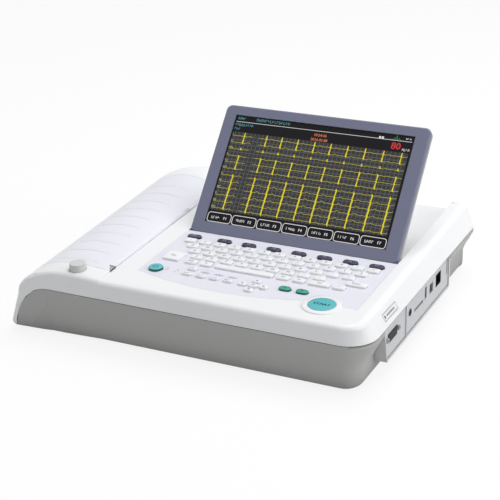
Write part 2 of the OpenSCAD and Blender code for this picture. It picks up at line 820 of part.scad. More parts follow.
module mains_switch() color("black") on_pocket(switch_at) translate([0, 0, switch_pivot[0]]) {
    rotate([-rocker_swing, 0, 0]) translate([-switch_size[0] / 2, 0, 0]) rotate([90, 0, 90]) difference() {
        linear_extrude(switch_size[0]) intersection() {
            circle(switch_size[1] / 2 - 0.2);
            translate([-8, -4]) square([16, 8]);
        }
        translate([0, 25, -1]) cylinder(h = switch_size[0] + 2, r = 22);
    }
    rotate([0, 90, 0])
        cylinder(h = switch_size[0] + 2 * switch_pivot[2], r = switch_pivot[1], center = true);
}

module earth_post() color("gold") on_pocket(earth_at) {
    translate([0, 0, -8]) cylinder(h = 8 + eps, r = 2);
    cylinder(h = 2, r = 5.5);
    translate([0, 0, 2 - eps]) cylinder(h = 11, r = earth_r);
}

// ---- keyboard ----

// Keys run through the panel and have a flange under it
module key_caps(rise = key_rise, held = panel_t) { deck_slab(-held - eps, rise) children(); }

module key_flange(held = panel_t) { deck_slab(key_low, -held) children(); }

module keyboard_panel() color("lavender") deck_slab(-panel_t, 0) difference() {
    panel_outline(0);
    all_cells(key_gap);
}

module key_mat() color("dimgray") deck_slab(mat_n - mat_t, mat_n) panel_outline(-ledge_w - 0.2);

module keyboard_board() color("green") deck_slab(mat_n - mat_t - board_t, mat_n - mat_t) {
    panel_outline(-2);
    translate(start_at) circle(start_ring[1] + 3);
}

module power_button() color("teal") {
    key_caps(key_rise + 0.5) translate(power_at) circle(power_r);
    key_flange() translate(power_at) circle(power_r + flange_w);
}

module start_button() color("teal") {
    key_caps(start_ring[2] + 0.3, deck_key_t) translate(start_at) circle(start_r);
    key_flange(deck_key_t) translate(start_at) circle(start_r + flange_w + key_gap);
}

module escape_key() color("white") {
    key_caps() escape_cell(0);
    key_flange() escape_cell(flange_w);
}

module function_keys() color("midnightblue") {
    key_caps() function_cells(0);
    key_flange() function_cells(flange_w);
}

module copy_keys() color("mediumseagreen") {
    key_caps() copy_cells(0);
    key_flange() copy_cells(flange_w);
}

module cursor_keys() color("white") {
    key_caps() cursor_cells(0);
    key_flange() cursor_cells(flange_w);
}

module menu_keys() color("white") {
    key_caps() menu_cells(0);
    key_flange() menu_cells(flange_w);
}

module letter_keys(r) {
    key_caps() key_row(r, 0);
    key_flange() key_row(r, flange_w);
}

module number_keys() color("white") letter_keys(0);

module upper_letter_keys() color("white") letter_keys(1);

module middle_letter_keys() color("white") letter_keys(2);

module lower_letter_keys() color("white") letter_keys(3);

module modifier_keys() color("white") {
    key_caps() modifier_cells(0);
    key_flange() modifier_cells(flange_w);
}

module space_bar() color("white") {
    key_caps() space_cell(0);
    key_flange() space_cell(flange_w);
}

module enter_key() color("white") {
    key_caps() enter_cell(0);
    key_flange() enter_cell(flange_w);
}

// ---- display: y runs up the screen from the hinge, z points out of the screen ----

module on_screen() { translate([screen_x, hinge_y, hinge_z]) rotate([screen_tilt, 0, 0]) children(); }

screen_top = hinge_back + screen_h;
face_z = hinge_drop;
back_z = face_z - screen_t;
split_z = face_z - front_t;
window_z = face_z - 1.2;
window_t = 1.5;
window_lip = 3;
lcd_t = 4.5;

// Side outline of the housing, inset by a wall; its lower end runs along the deck
module screen_side(i) {
    low = hinge_back - 0.6;
    slant = screen_t / tan(fold);
    polygon([
        [low + i / sin(fold), face_z - i], [screen_top - i, face_z - i], [screen_top - i, back_z + 4],
        [screen_top - 4, back_z + i], [low + slant + i / sin(fold), back_z + i]
    ]);
}

module screen_front(i) {
    w = screen_w - 2 * i;
    r = screen_corner_r - i;
    translate([-w / 2, -20]) square([w, screen_top - i - r + 20]);
    translate([-w / 2 + r, screen_top - i - r - eps]) square([w - 2 * r, r + eps]);
    for (s = [-1, 1]) translate([s * (w / 2 - r), screen_top - i - r]) circle(r);
}

module view_rect(g) {
    translate([-screen_w / 2 + view_left - g, hinge_back + view_low - g])
        square([view_w + 2 * g, view_h + 2 * g]);
}

module screen_solid(i) intersection() {
    along_x(-screen_w / 2 + i, screen_w / 2 - i) screen_side(i);
    translate([0, 0, back_z - 1]) linear_extrude(screen_t + 2) screen_front(i);
}

module display_front() color("slategray") on_screen() difference() {
    screen_solid(0);
    translate([-screen_w, -20, back_z - 5]) cube([2 * screen_w, screen_h + 40, split_z - back_z + 5]);
    translate([0, 0, back_z]) linear_extrude(screen_t + 1) view_rect(0);
    translate([0, 0, back_z]) linear_extrude(window_z - back_z) view_rect(window_lip + 0.2);
}

module screen_knuckle() {
    along_x(0, knuckle_w) difference() {
        union() {
            circle(hinge_barrel_r);
            polygon([[-hinge_barrel_r, 0], [hinge_back - 0.6, face_z - 0.5],
                [hinge_back + 13, back_z + 0.5], [0, -hinge_barrel_r]]);
        }
        circle(hinge_pin_r + hinge_fit);
    }
}

module display_back() color("slategray") on_screen() {
    difference() {
        union() {
            intersection() {
                screen_solid(0);
                translate([-screen_w, -20, back_z - 5])
                    cube([2 * screen_w, screen_h + 40, split_z - back_z + 5]);
            }
            intersection() {
                union() {
                    translate([-screen_w / 2, 0, 0]) screen_knuckle();
                    translate([screen_w / 2 - knuckle_w, 0, 0]) screen_knuckle();
                }
                translate([-screen_w, -20, back_z - 5])
                    cube([2 * screen_w, screen_h + 40, split_z - back_z + 5]);
            }
        }
        difference() {
            screen_solid(skin_t);
            for (s = [-1, 1]) translate([s * (screen_w / 2 - knuckle_w / 2), 0, back_z])
                translate([-knuckle_w / 2, -10, 0]) cube([knuckle_w, hinge_back + 17, screen_t]);
        }
    }
}

module display_panel() color("black") on_screen()
    translate([0, 0, window_z - window_t - lcd_t]) linear_extrude(lcd_t) view_rect(window_lip);

module display_window() color("gray") on_screen()
    translate([0, 0, window_z - window_t]) linear_extrude(window_t) view_rect(window_lip);

module display_hinge_pins() color("silver") {
    for (x = [board_x0 - well_gap - pin_seat, board_x0 + board_w + well_gap + pin_seat - hinge_pin_l])
        hinge_line(x, x + hinge_pin_l, hinge_pin_r);
}

module display_hinge_caps() color("black") for (s = [0, 1])
    translate([screen_x + (s * 2 - 1) * (screen_w / 2) - (1 - s) * cap_t, hinge_y, hinge_z])
        rotate([0, 90, 0])
        difference() {
            cylinder(h = cap_t, r = hinge_barrel_r);
            translate([0, 0, -1]) cylinder(h = cap_t + 2, r = hinge_pin_r + hinge_fit);
        }

// ---- recorder ----

module cover_box(g) {
    box_between([left_x - 1, cover_y[0] + g, cover_low_z], [bay_x - g, cover_y[1] - g, crest_h + 5]);
}

module cover_grooves() {
    for (k = [0:groove_count - 1])
        box_between([groove_x[0], groove_y0 + k * groove_pitch, platen_z],
            [groove_x[1], groove_y0 + k * groove_pitch + groove_w, crest_h + 5]);
}

module printer_cover() color("white") {
    difference() {
        union() {
            intersection() {
                difference() {
                    case_form(0);
                    difference() {
                        case_form(cover_t);
                        for (y = [cover_y[0] + cover_gap, cover_y[1] - cover_gap - skirt_t])
                            box_between([skirt_x[0], y, skirt_z], [skirt_x[1], y + skirt_t, crest_h + 5]);
                        for (y = ear_y) {
                            box_between([platen_x - ear_r, y - ear_t / 2, platen_z],
                                [platen_x + ear_r, y + ear_t / 2, crest_h + 5]);
                            translate([platen_x, y + ear_t / 2, platen_z]) rotate([90, 0, 0])
                                cylinder(h = ear_t, r = ear_r);
                        }
                    }
                }
                cover_box(cover_gap);
            }
            knuckles(0, knuckle_r);
            for (y = knuckle_y)
                box_between([cover_axis[0] - knuckle_r + 0.1, y, cover_axis[1]],
                    [cover_axis[0] + 0.6, y + knuckle_l, cover_low_z + 1]);
        }
        knuckles(-1, cover_pin_r + 0.05, knuckle_l + 2);
        for (y = ear_y) translate([platen_x, y + ear_t, platen_z]) rotate([90, 0, 0])
            cylinder(h = 2 * ear_t, r = platen_shaft_r + run_fit);
        translate([0, 0, skirt_z]) linear_extrude(crest_h) polygon([
            [bay_x - notch[0], cover_y[0] + 2], [bay_x + 1, cover_y[0] + 2],
            [bay_x + 1, cover_y[0] + 2 + notch[1]], [bay_x - 1, cover_y[0] + 2 + notch[1]]
        ]);
        difference() {
            cover_grooves();
            case_form(groove_t);
        }
    }
}

module cover_hinge_pins() color("silver") knuckles(-knuckle_l, cover_pin_r, 2 * knuckle_l - 1);

module release_button() color("white") translate([release_at[0], release_at[1], 0]) {
    translate([0, 0, release_low_z]) cylinder(h = release_top_z - release_low_z, r = release_r);
    translate([0, 0, release_low_z]) cylinder(h = 1.5, r = release_r + 1);
    translate([0, 0, latch_axis[1] + latch_t + 2])
        cylinder(h = release_low_z - latch_axis[1] - latch_t - 1.5, r = stem_r);
    translate([0, 0, latch_axis[1] + latch_t]) cylinder(h = 2 + eps, r1 = 0.5, r2 = stem_r);
}

// A ring of wire turns along Z
module spring(r, wire_r, h, turns) {
    pitch = (h - 2 * wire_r) / turns;
    for (k = [0:turns]) translate([0, 0, wire_r + k * pitch])
        rotate_extrude($fn = 24) translate([r - wire_r, 0]) circle(wire_r, $fn = 13);
    for (s = [-1, 1]) translate([s * (r - wire_r), 0, wire_r])
        cylinder(h = h - 2 * wire_r, r = wire_r * 0.8, $fn = 8);
}

module release_spring() color("silver") translate([release_at[0], release_at[1], shelf_z[1]])
    spring(4, 0.25, release_low_z - shelf_z[1], 2);

module cover_latch() color("gray") difference() {
    union() {
        along_x(latch_x[0], latch_x[1]) translate(latch_axis) circle(2.6);
        along_x(release_at[0] + release_r + 1.8, latch_x[1]) {
            translate([latch_axis[0] - 1.1, latch_axis[1]]) square([2.2, nose_z[1] - latch_axis[1]]);
            translate([latch_axis[0], nose_z[0]])
                square([cover_y[0] + cover_gap - nose_gap - latch_axis[0], nose_z[1] - nose_z[0]]);
        }
        along_x(latch_x[0], release_at[0] + 4) translate([release_at[1] - 2.5, latch_axis[1]])
            square([latch_axis[0] - release_at[1] + 2.5, latch_t]);
    }
    along_x(latch_x[0] - 1, latch_x[1] + 1) translate(latch_axis) circle(latch_pin_r + run_fit);
}

module latch_pin() color("silver")
    along_x(latch_x[0] - 4, latch_x[1] + 4) translate(latch_axis) circle(latch_pin_r);

module tear_bar() color("silver") on_deck()
    box_between([bay_x, tear_v[0], -wall_t - 1], [bay_x + 8, tear_v[1], -wall_t]);

module platen_line(y0, y1, r) { along_y(y0, y1) translate([platen_x, platen_z]) circle(r); }

module platen_shaft() color("silver")
    platen_line(ear_y[0] - ear_t / 2 - 0.8, gear_y + gear_w, platen_shaft_r);

module platen_rubber() color("dimgray") difference() {
    platen_line(paper_y0, paper_y0 + paper_w, platen_r);
    platen_line(paper_y0 - 1, paper_y0 + paper_w + 1, platen_shaft_r);
}

module platen_gear() color("ivory") translate([platen_x, gear_y, platen_z]) rotate([-90, 0, 0]) rotate(90)
    gear(platen_teeth, gear_w, platen_shaft_r);

// The pinion and the motor's shaft
module motor_pinion() color("gold") {
    translate([platen_x, gear_y, pinion_z]) rotate([-90, 0, 0]) rotate(180 / pinion_teeth + 90)
        gear(pinion_teeth, gear_w, motor_shaft_r);
    motor_line(gear_y, cheek_y[1] + cheek_t / 2 + motor_shaft_l, motor_shaft_r);
}

module motor_line(y0, y1, r) { along_y(y0, y1) translate([platen_x, pinion_z]) circle(r); }

module stepper_motor() color("gray") {
    y = cheek_y[1] + cheek_t / 2;
    difference() {
        along_y(y, y + motor_size[1]) translate([platen_x, pinion_z])
            rect_cell([motor_size[0], motor_size[0]], 0);
        motor_line(y - 1, y + motor_shaft_l + 0.2, motor_shaft_r + run_fit);
    }
}

module printer_chassis() color("silver") {
    low_r = roll_r + trough_gap;
    difference() {
        union() {
            along_y(cheek_y[0], cheek_y[1]) difference() {
                union() {
                    translate([roll_x, roll_z]) circle(low_r + chassis_t);
                    translate([roll_x, roll_z - chassis_t]) square([chassis_x[1] - roll_x, chassis_t]);
                }
                translate([roll_x, roll_z]) circle(low_r);
                translate([chassis_x[0] - 5, roll_z]) square([140, 60]);
            }
            along_y(cheek_y[0], cheek_y[1]) {
                translate([beam_x, roll_z - chassis_t])
                    square([chassis_x[1] - beam_x, beam_z[1] - roll_z + chassis_t]);
                translate([chassis_x[1] - chassis_t, roll_z]) square([chassis_t, head_z[1] - roll_z - 1]);
            }
            for (y = cheek_y) along_y(y - cheek_t / 2, y + cheek_t / 2) translate([chassis_x[0], floor_z])
                square([chassis_x[1] - chassis_x[0], cheek_top_z - floor_z]);
        }
        for (y = cheek_y) along_y(y - cheek_t, y + cheek_t) {
            translate([roll_x, roll_z]) circle(spindle_journal_r + run_fit);
            translate([roll_x - spindle_journal_r - run_fit, roll_z])
                square([2 * (spindle_journal_r + run_fit), 40]);
        }
        motor_line(cheek_y[1] - cheek_t, cheek_y[1] + cheek_t, motor_shaft_r + 1);
        motor_line(gear_y - 1, cheek_y[1] - cheek_t / 2, gear_module * pinion_teeth / 2 + 2);
        platen_line(gear_y - 1, cheek_y[1] - cheek_t / 2, gear_module * platen_teeth / 2 + 2);
    }
}

module paper_roll() color("mistyrose") along_y(paper_y0, paper_y0 + paper_w) translate([roll_x, roll_z])
    difference() {
    circle(roll_r, $fn = 72);
    circle(spindle_r);
}

module roll_spindle() color("dimgray") {
    along_y(cheek_y[0] + cheek_t / 2 + spindle_slack, cheek_y[1] - cheek_t / 2 - spindle_slack)
        translate([roll_x, roll_z]) circle(spindle_r);
    along_y(cheek_y[0] - cheek_t / 2 - 1, cheek_y[1] + cheek_t / 2 + 1) translate([roll_x, roll_z])
        circle(spindle_journal_r);
}

module print_head() color("gray") {
    x = platen_x + platen_r + head_gap;
    box_between([x, head_y[0], head_z[0]], [x + head_t, head_y[1], head_z[1]]);
    box_between([x + head_t - eps, head_y[0] + 5, head_z[0]],
        [x + head_t + sink_t, head_y[1] - 5, head_z[1] - 4]);
}

module head_springs() color("silver") {
    x = platen_x + platen_r + head_gap + head_t + sink_t;
    for (y = [head_y[0] + 30, (head_y[0] + head_y[1]) / 2, head_y[1] - 30])
        translate([x, y, (head_z[0] + head_z[1]) / 2 - 1]) rotate([0, 90, 0])
            spring(head_spring_r, 0.4, chassis_x[1] - chassis_t - x, 4);
}

// ---- inside the base ----

module main_board() color("green")
    box_between([-60, -62, board_z], [180, speaker_at[1] - speaker_r - 2, board_z + board_t]);

module power_supply() color("silver") box_between([-58, rear_y - 96, floor_z], [42, rear_y - 24, 44]);

module battery_pack() color("royalblue")
    box_between([battery_box[0][0], battery_box[0][1], floor_z - 0.2],
        [battery_box[1][0], battery_box[1][1], battery_box[1][2] - 1]);

module speaker() color("dimgray") translate([speaker_at[0], speaker_at[1], floor_z]) {
    cylinder(h = 3, r = speaker_r);
    translate([0, 0, 3 - eps]) cylinder(h = 7, r1 = speaker_r - 2, r2 = speaker_r / 2);
    translate([0, 0, 10 - eps]) cylinder(h = 6, r = speaker_r / 2);
}

top_shell();
bottom_shell();
connector_panel();
battery_cover();
rubber_feet();
case_screws();
keyboard_panel();
key_mat();
keyboard_board();
power_button();
start_button();
escape_key();
function_keys();
copy_keys();
cursor_keys();
menu_keys();
number_keys();
upper_letter_keys();
middle_letter_keys();
lower_letter_keys();
modifier_keys();
space_bar();
enter_key();
display_front();
display_back();
display_panel();
display_window();
display_hinge_pins();
display_hinge_caps();
printer_cover();
cover_hinge_pins();
release_button();
release_spring();
cover_latch();
latch_pin();
tear_bar();
printer_chassis();
paper_roll();
roll_spindle();
platen_shaft();
platen_rubber();
platen_gear();
motor_pinion();
stepper_motor();
print_head();
head_springs();
main_board();
power_supply();
battery_pack();
speaker();
patient_socket();
jack_posts();
signal_jack();
card_socket();
data_sockets();
network_socket();
mains_inlet();
fuse_drawer();
mains_switch();
earth_post();
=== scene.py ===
import bpy, bmesh, math, json, random
from mathutils import Vector, Matrix


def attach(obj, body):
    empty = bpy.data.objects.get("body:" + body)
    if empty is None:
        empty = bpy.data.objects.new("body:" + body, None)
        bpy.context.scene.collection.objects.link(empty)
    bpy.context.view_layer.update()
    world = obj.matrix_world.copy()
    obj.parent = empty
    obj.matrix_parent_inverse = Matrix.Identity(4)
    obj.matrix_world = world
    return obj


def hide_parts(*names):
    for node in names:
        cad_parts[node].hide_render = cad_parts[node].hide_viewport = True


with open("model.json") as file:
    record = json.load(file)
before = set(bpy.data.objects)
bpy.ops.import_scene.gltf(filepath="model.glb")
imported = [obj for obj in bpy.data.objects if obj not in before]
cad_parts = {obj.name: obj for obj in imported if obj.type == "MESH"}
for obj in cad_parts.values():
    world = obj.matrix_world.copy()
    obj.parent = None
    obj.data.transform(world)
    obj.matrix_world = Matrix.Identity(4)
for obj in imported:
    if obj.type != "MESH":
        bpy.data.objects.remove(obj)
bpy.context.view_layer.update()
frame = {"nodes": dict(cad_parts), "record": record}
scene = bpy.context.scene
scene.view_settings.view_transform = "Standard"
mm = 0.001
toMetres = Matrix.Scale(mm, 4)


def linkObject(name, data):
    obj = bpy.data.objects.new(name, data)
    scene.collection.objects.link(obj)
    return obj


def drop(*objs):
    for obj in objs:
        bpy.data.objects.remove(obj)


print("stage: camera and light")
cameraSettings = {
    "place": (622.7, -1262.9, 655.5),  # millimetres
    "yaw": -0.4595,
    "pitch": 0.402,
    "roll": -0.0249,
    "lens": 97.04,
}


def addCamera(s):
    cy, sy, cp, sp = math.cos(s["yaw"]), math.sin(s["yaw"]), math.cos(s["pitch"]), math.sin(s["pitch"])
    forward = Vector((sy * cp, cy * cp, -sp))
    level = Vector((cy, -sy, 0))
    over = level.cross(forward)
    right = level * math.cos(s["roll"]) + over * math.sin(s["roll"])
    up = over * math.cos(s["roll"]) - level * math.sin(s["roll"])
    data = bpy.data.cameras.new("camera")
    data.lens = s["lens"]
    data.sensor_width = 36
    data.clip_start, data.clip_end = 0.05, 20
    cam = linkObject("camera", data)
    turn = Matrix((right, up, -forward)).transposed().to_4x4()
    cam.matrix_world = Matrix.Translation(Vector(s["place"]) * mm) @ turn
    scene.camera = cam


addCamera(cameraSettings)


def feed(tree, sock, value):  # a number, a colour or another node's output
    if isinstance(value, (int, float)):
        sock.default_value = value
    elif isinstance(value, tuple):
        sock.default_value = value + (1,)
    else:
        tree.links.new(value, sock)


def mathNode(tree, operation, *values):
    node = tree.nodes.new("ShaderNodeMath")
    node.operation = operation
    for sock, value in zip(node.inputs, values):
        feed(tree, sock, value)
    return node.outputs[0]


def mixShaders(tree, factor, first, second, end):
    mix = tree.nodes.new("ShaderNodeMixShader")
    for sock, value in zip(mix.inputs, (factor, first.outputs[0], second.outputs[0])):
        tree.links.new(value, sock)
    tree.links.new(mix.outputs[0], tree.nodes[end].inputs["Surface"])


def seenRay(tree):  # one for the rays that show the background, nothing for the rays that light the object
    path = tree.nodes.new("ShaderNodeLightPath")
    shown = mathNode(tree, "MAXIMUM", path.outputs["Is Glossy Ray"], path.outputs["Is Transmission Ray"])
    return mathNode(tree, "MAXIMUM", path.outputs["Is Camera Ray"], shown)


lightSettings = {
    "world": 0.5,
    "lamps": [  # name, place in metres, size, watts
        ("topLamp", (0.3, 0.5, 1.9), 1.3, 20.0),
        ("sideLamp", (1.9, 0.2, 0.8), 1.2, 12.0),
        ("frontLamp", (-0.6, -1.9, 1.1), 1.4, 2.0),
    ],
    "aim": (0.0, 0.0, 0.06),
}


def addLights(s):
    for name, place, size, watts in s["lamps"]:
        lamp = bpy.data.lights.new(name, "AREA")
        lamp.shape = "DISK"
        lamp.size = size
        lamp.energy = watts
        obj = linkObject(name, lamp)
        obj.location = place
        obj.rotation_euler = (Vector(s["aim"]) - Vector(place)).to_track_quat("-Z", "Y").to_euler()
    world = bpy.data.worlds.new("studio")
    scene.world = world
    world.use_nodes = True
    tree = world.node_tree
    soft, seen = tree.nodes["Background"], tree.nodes.new("ShaderNodeBackground")
    for node, strength in ((soft, s["world"]), (seen, 1.0)):
        node.inputs["Color"].default_value = (1.0, 1.0, 1.0, 1)
        node.inputs["Strength"].default_value = strength
    mixShaders(tree, seenRay(tree), soft, seen, "World Output")


addLights(lightSettings)

print("stage: materials")
number, colour, vector = "NodeSocketFloat", "NodeSocketColor", "NodeSocketVector"
surfaceOuts = [("Color", colour), ("Roughness", number), ("Height", number)]


# the groups below are shared by several materials
def newGroup(name, ins, outs):
    tree = bpy.data.node_groups.new(name, "ShaderNodeTree")
    for label, kind, value in ins:
        tree.interface.new_socket(label, in_out="INPUT", socket_type=kind).default_value = value
    for label, kind in outs:
        tree.interface.new_socket(label, in_out="OUTPUT", socket_type=kind)
    return tree, tree.nodes.new("NodeGroupInput"), tree.nodes.new("NodeGroupOutput")


def useGroup(tree, group):
    node = tree.nodes.new("ShaderNodeGroup")
    node.node_tree = group
    return node


def newMaterial(name):
    mat = bpy.data.materials.new(name)
    mat.use_nodes = True
    return mat, mat.node_tree, mat.node_tree.nodes["Principled BSDF"]


def tone(r, g, b):  # screen values from 0 to 255
    return tuple((v / 255 / 12.92) if v <= 10 else ((v / 255 + 0.055) / 1.055) ** 2.4 for v in (r, g, b))


def mixColour(tree, factor, a, b, blend="MIX"):
    node = tree.nodes.new("ShaderNodeMix")
    node.data_type = "RGBA"
    node.blend_type = blend
    for key, kind, value in (("Factor", "VALUE", factor), ("A", "RGBA", a), ("B", "RGBA", b)):
        feed(tree, [i for i in node.inputs if i.name == key and i.type == kind][0], value)
    return [o for o in node.outputs if o.type == "RGBA"][0]


def noiseNode(tree, scale, detail, place):
    node = tree.nodes.new("ShaderNodeTexNoise")
    for key, value in (("Detail", detail), ("Scale", scale), ("Vector", place)):
        feed(tree, node.inputs[key], value)
    return node.outputs["Fac"]


def objectPlace(tree):
    return tree.nodes.new("ShaderNodeTexCoord").outputs["Object"]


def makeMouldedGrain():
    tree, gin, gout = newGroup(
        "mouldedGrain",
        [("Color", colour, (0.8, 0.8, 0.8, 1)), ("Scale", number, 900.0), ("Variation", number, 0.03),
         ("Roughness", number, 0.45)],
        surfaceOuts)
    place = objectPlace(tree)
    fine = noiseNode(tree, gin.outputs["Scale"], 2.0, place)
    broad = noiseNode(tree, 14.0, 3.0, place)
    darker = mixColour(tree, 1.0, gin.outputs["Color"], (0.86, 0.87, 0.88), "MULTIPLY")
    amount = mathNode(tree, "MULTIPLY", broad, gin.outputs["Variation"])
    shade = mixColour(tree, mathNode(tree, "MULTIPLY", amount, 4.0), gin.outputs["Color"], darker)
    rough = gin.outputs["Roughness"]
    for pattern, share in ((fine, 0.16), (broad, 0.12)):
        rough = mathNode(tree, "MULTIPLY_ADD", mathNode(tree, "SUBTRACT", pattern, 0.5), share, rough)
    for value, sock in zip((shade, rough, fine), gout.inputs):
        tree.links.new(value, sock)
    return tree


def makeBrushedLines():
    tree, gin, gout = newGroup(
        "brushedLines",
        [("Color", colour, (0.7, 0.7, 0.7, 1)), ("Scale", number, 300.0), ("Roughness", number, 0.3)],
        surfaceOuts)
    stretch = tree.nodes.new("ShaderNodeMapping")
    stretch.inputs["Scale"].default_value = (1.0, 0.06, 1.0)
    tree.links.new(objectPlace(tree), stretch.inputs["Vector"])
    lines = noiseNode(tree, gin.outputs["Scale"], 4.0, stretch.outputs[0])
    darker = mixColour(tree, 1.0, gin.outputs["Color"], (0.72, 0.72, 0.74), "MULTIPLY")
    shade = mixColour(tree, lines, darker, gin.outputs["Color"])
    rough = mathNode(tree, "MULTIPLY_ADD", lines, 0.2, gin.outputs["Roughness"])
    for value, sock in zip((shade, rough, lines), gout.inputs):
        tree.links.new(value, sock)
    return tree


def makeSoftEdge():  # rounds edges in the light and adds a fine surface
    ins, outs = [("Height", number, 0.5), ("Bump", number, 0.1)], [("Normal", vector)]
    tree, gin, gout = newGroup("softEdge", ins, outs)
    edge = tree.nodes.new("ShaderNodeBevel")
    edge.samples = 4
    edge.inputs["Radius"].default_value = 0.0005
    hump = tree.nodes.new("ShaderNodeBump")
    hump.inputs["Distance"].default_value = 0.0002
    tree.links.new(gin.outputs["Height"], hump.inputs["Height"])
    tree.links.new(gin.outputs["Bump"], hump.inputs["Strength"])
    tree.links.new(edge.outputs[0], hump.inputs["Normal"])
    tree.links.new(hump.outputs[0], gout.inputs["Normal"])
    return tree


def makePaintedFootShade():  # painted shade: a darker band toward the foot, where the wall turns under
    tree, gin, gout = newGroup(
        "paintedFootShade",
        [("Color", colour, (0.8, 0.8, 0.8, 1)), ("Top", number, 0.027), ("Amount", number, 0.42)],
        [("Color", colour)])
    axes = tree.nodes.new("ShaderNodeSeparateXYZ")
    tree.links.new(objectPlace(tree), axes.inputs[0])
    below = mathNode(tree, "SUBTRACT", gin.outputs["Top"], axes.outputs["Z"])
    share = mathNode(tree, "DIVIDE", below, gin.outputs["Top"])
    share.node.use_clamp = True
    amount = mathNode(tree, "MULTIPLY", mathNode(tree, "POWER", share, 2.0), gin.outputs["Amount"])
    tree.links.new(mixColour(tree, amount, gin.outputs["Color"], (0.0, 0.0, 0.0)), gout.inputs["Color"])
    return tree


mouldedGrain = makeMouldedGrain()
paintedFootShade = makePaintedFootShade()
brushedLines = makeBrushedLines()
softEdge = makeSoftEdge()


def finishMaterial(name, group, rgb, settings, bump, metallic=0.0, specular=0.5):
    mat, tree, shader = newMaterial(name)
    use = useGroup(tree, group)
    use.inputs["Color"].default_value = tone(*rgb) + (1,)
    for key, value in settings.items():
        use.inputs[key].default_value = value
    tree.links.new(use.outputs["Color"], shader.inputs["Base Color"])
    tree.links.new(use.outputs["Roughness"], shader.inputs["Roughness"])
    edge = useGroup(tree, softEdge)
    edge.inputs["Bump"].default_value = bump
    tree.links.new(use.outputs["Height"], edge.inputs["Height"])
    tree.links.new(edge.outputs["Normal"], shader.inputs["Normal"])
    shader.inputs["Metallic"].default_value = metallic
    shader.inputs["Specular IOR Level"].default_value = specular
    return mat


plasticTable = {  # colour, grain scale, variation, roughness, bump, specular
    "whiteShell": ((238, 239, 241), 1400, 0.03, 0.42, 0.10, 0.45),
    "coverWhite": ((232, 233, 240), 1400, 0.03, 0.45, 0.12, 0.4),
    "exitOlive": ((122, 120, 88), 900, 0.08, 0.7, 0.1, 0.2),
    "labelLine": ((120, 122, 124), 900, 0.05, 0.6, 0.05, 0.3),
    "panelRim": ((226, 227, 229), 1200, 0.04, 0.5, 0.12, 0.4),
    # painted shade for the side panel's grooves and the recess above its rim
    "panelPaintedShade": ((112, 112, 110), 900, 0.06, 0.7, 0.1, 0.2),
    # painted shade for the dark strip in the seam groove
    "seamPaintedShade": ((52, 50, 38), 900, 0.05, 0.8, 0.1, 0.2),
    "buttonGrey": ((206, 206, 206), 1400, 0.03, 0.45, 0.1, 0.4),
    "greyBase": ((178, 178, 177), 1100, 0.05, 0.55, 0.16, 0.35),
    "panelGrey": ((206, 207, 210), 1200, 0.04, 0.5, 0.12, 0.4),
    "displayGrey": ((112, 115, 138), 1600, 0.03, 0.42, 0.08, 0.4),
    "displaySide": ((156, 156, 158), 1600, 0.03, 0.42, 0.08, 0.4),
    # painted shade: darker copies of the key colours for the keys' sides
    "keyDeep": ((10, 96, 84), 1500, 0.03, 0.4, 0.05, 0.45),
    "keyNavyPaintedSideShade": ((16, 20, 32), 1500, 0.04, 0.38, 0.06, 0.45),
    "screenBlack": ((24, 22, 26), 1800, 0.05, 0.35, 0.03, 0.12),
    "inkDark": ((92, 92, 96), 2500, 0.05, 0.6, 0.05, 0.2),
    "inkPale": ((188, 192, 206), 2500, 0.05, 0.6, 0.05, 0.2),
    "inkTeal": ((18, 78, 88), 2500, 0.05, 0.6, 0.05, 0.2),
    "printLilac": ((202, 202, 226), 2500, 0.03, 0.5, 0.05, 0.3),
    "printSlate": ((130, 132, 158), 2500, 0.03, 0.5, 0.05, 0.3),
    "lampGreen": ((168, 186, 176), 1500, 0.03, 0.3, 0.05, 0.5),
    "keypadFilm": ((226, 226, 236), 1800, 0.02, 0.5, 0.05, 0.4),
    "keyWhite": ((236, 237, 240), 1600, 0.02, 0.4, 0.06, 0.45),
    "keyNavy": ((50, 56, 80), 1500, 0.04, 0.35, 0.06, 0.5),
    "keyTeal": ((86, 182, 190), 1500, 0.03, 0.38, 0.05, 0.45),
    "keyGreen": ((58, 158, 138), 1500, 0.03, 0.38, 0.05, 0.45),
    "blackPlastic": ((18, 18, 20), 1200, 0.05, 0.45, 0.12, 0.25),
    "darkGrey": ((74, 76, 80), 1200, 0.05, 0.5, 0.12, 0.4),
    "softRubber": ((38, 38, 40), 900, 0.08, 0.75, 0.25, 0.25),
    "boardGreen": ((34, 110, 66), 700, 0.08, 0.4, 0.08, 0.5),
    "rollPaper": ((244, 222, 218), 600, 0.04, 0.8, 0.1, 0.2),
    "gearIvory": ((236, 230, 214), 1000, 0.04, 0.4, 0.06, 0.45),
    "batteryBlue": ((44, 74, 150), 800, 0.06, 0.35, 0.06, 0.5),
}
metalTable = {  # colour, line scale, roughness, bump
    "steelBright": ((196, 198, 202), 420, 0.24, 0.08),
    "tinShell": ((200, 202, 205), 380, 0.34, 0.06),
    "brassTurned": ((206, 166, 92), 500, 0.26, 0.08),
}
mats = {}
for name, (rgb, scale, variation, rough, bump, spec) in plasticTable.items():
    grain = {"Scale": scale, "Variation": variation, "Roughness": rough}
    mats[name] = finishMaterial(name, mouldedGrain, rgb, grain, bump, specular=spec)
for name, (rgb, scale, rough, bump) in metalTable.items():
    lines = {"Scale": scale, "Roughness": rough}
    mats[name] = finishMaterial(name, brushedLines, rgb, lines, bump, metallic=1.0)


def paintFootShade(mat):  # puts the painted shade of the foot between the plastic's colour and the shader
    tree = mat.node_tree
    low, base = useGroup(tree, paintedFootShade), tree.nodes["Principled BSDF"].inputs["Base Color"]
    tree.links.new(base.links[0].from_socket, low.inputs["Color"])
    tree.links.new(low.outputs["Color"], base)


# the grey base gets painted shade, darker towards the bottom
paintFootShade(mats["greyBase"])

print("stage: shells")

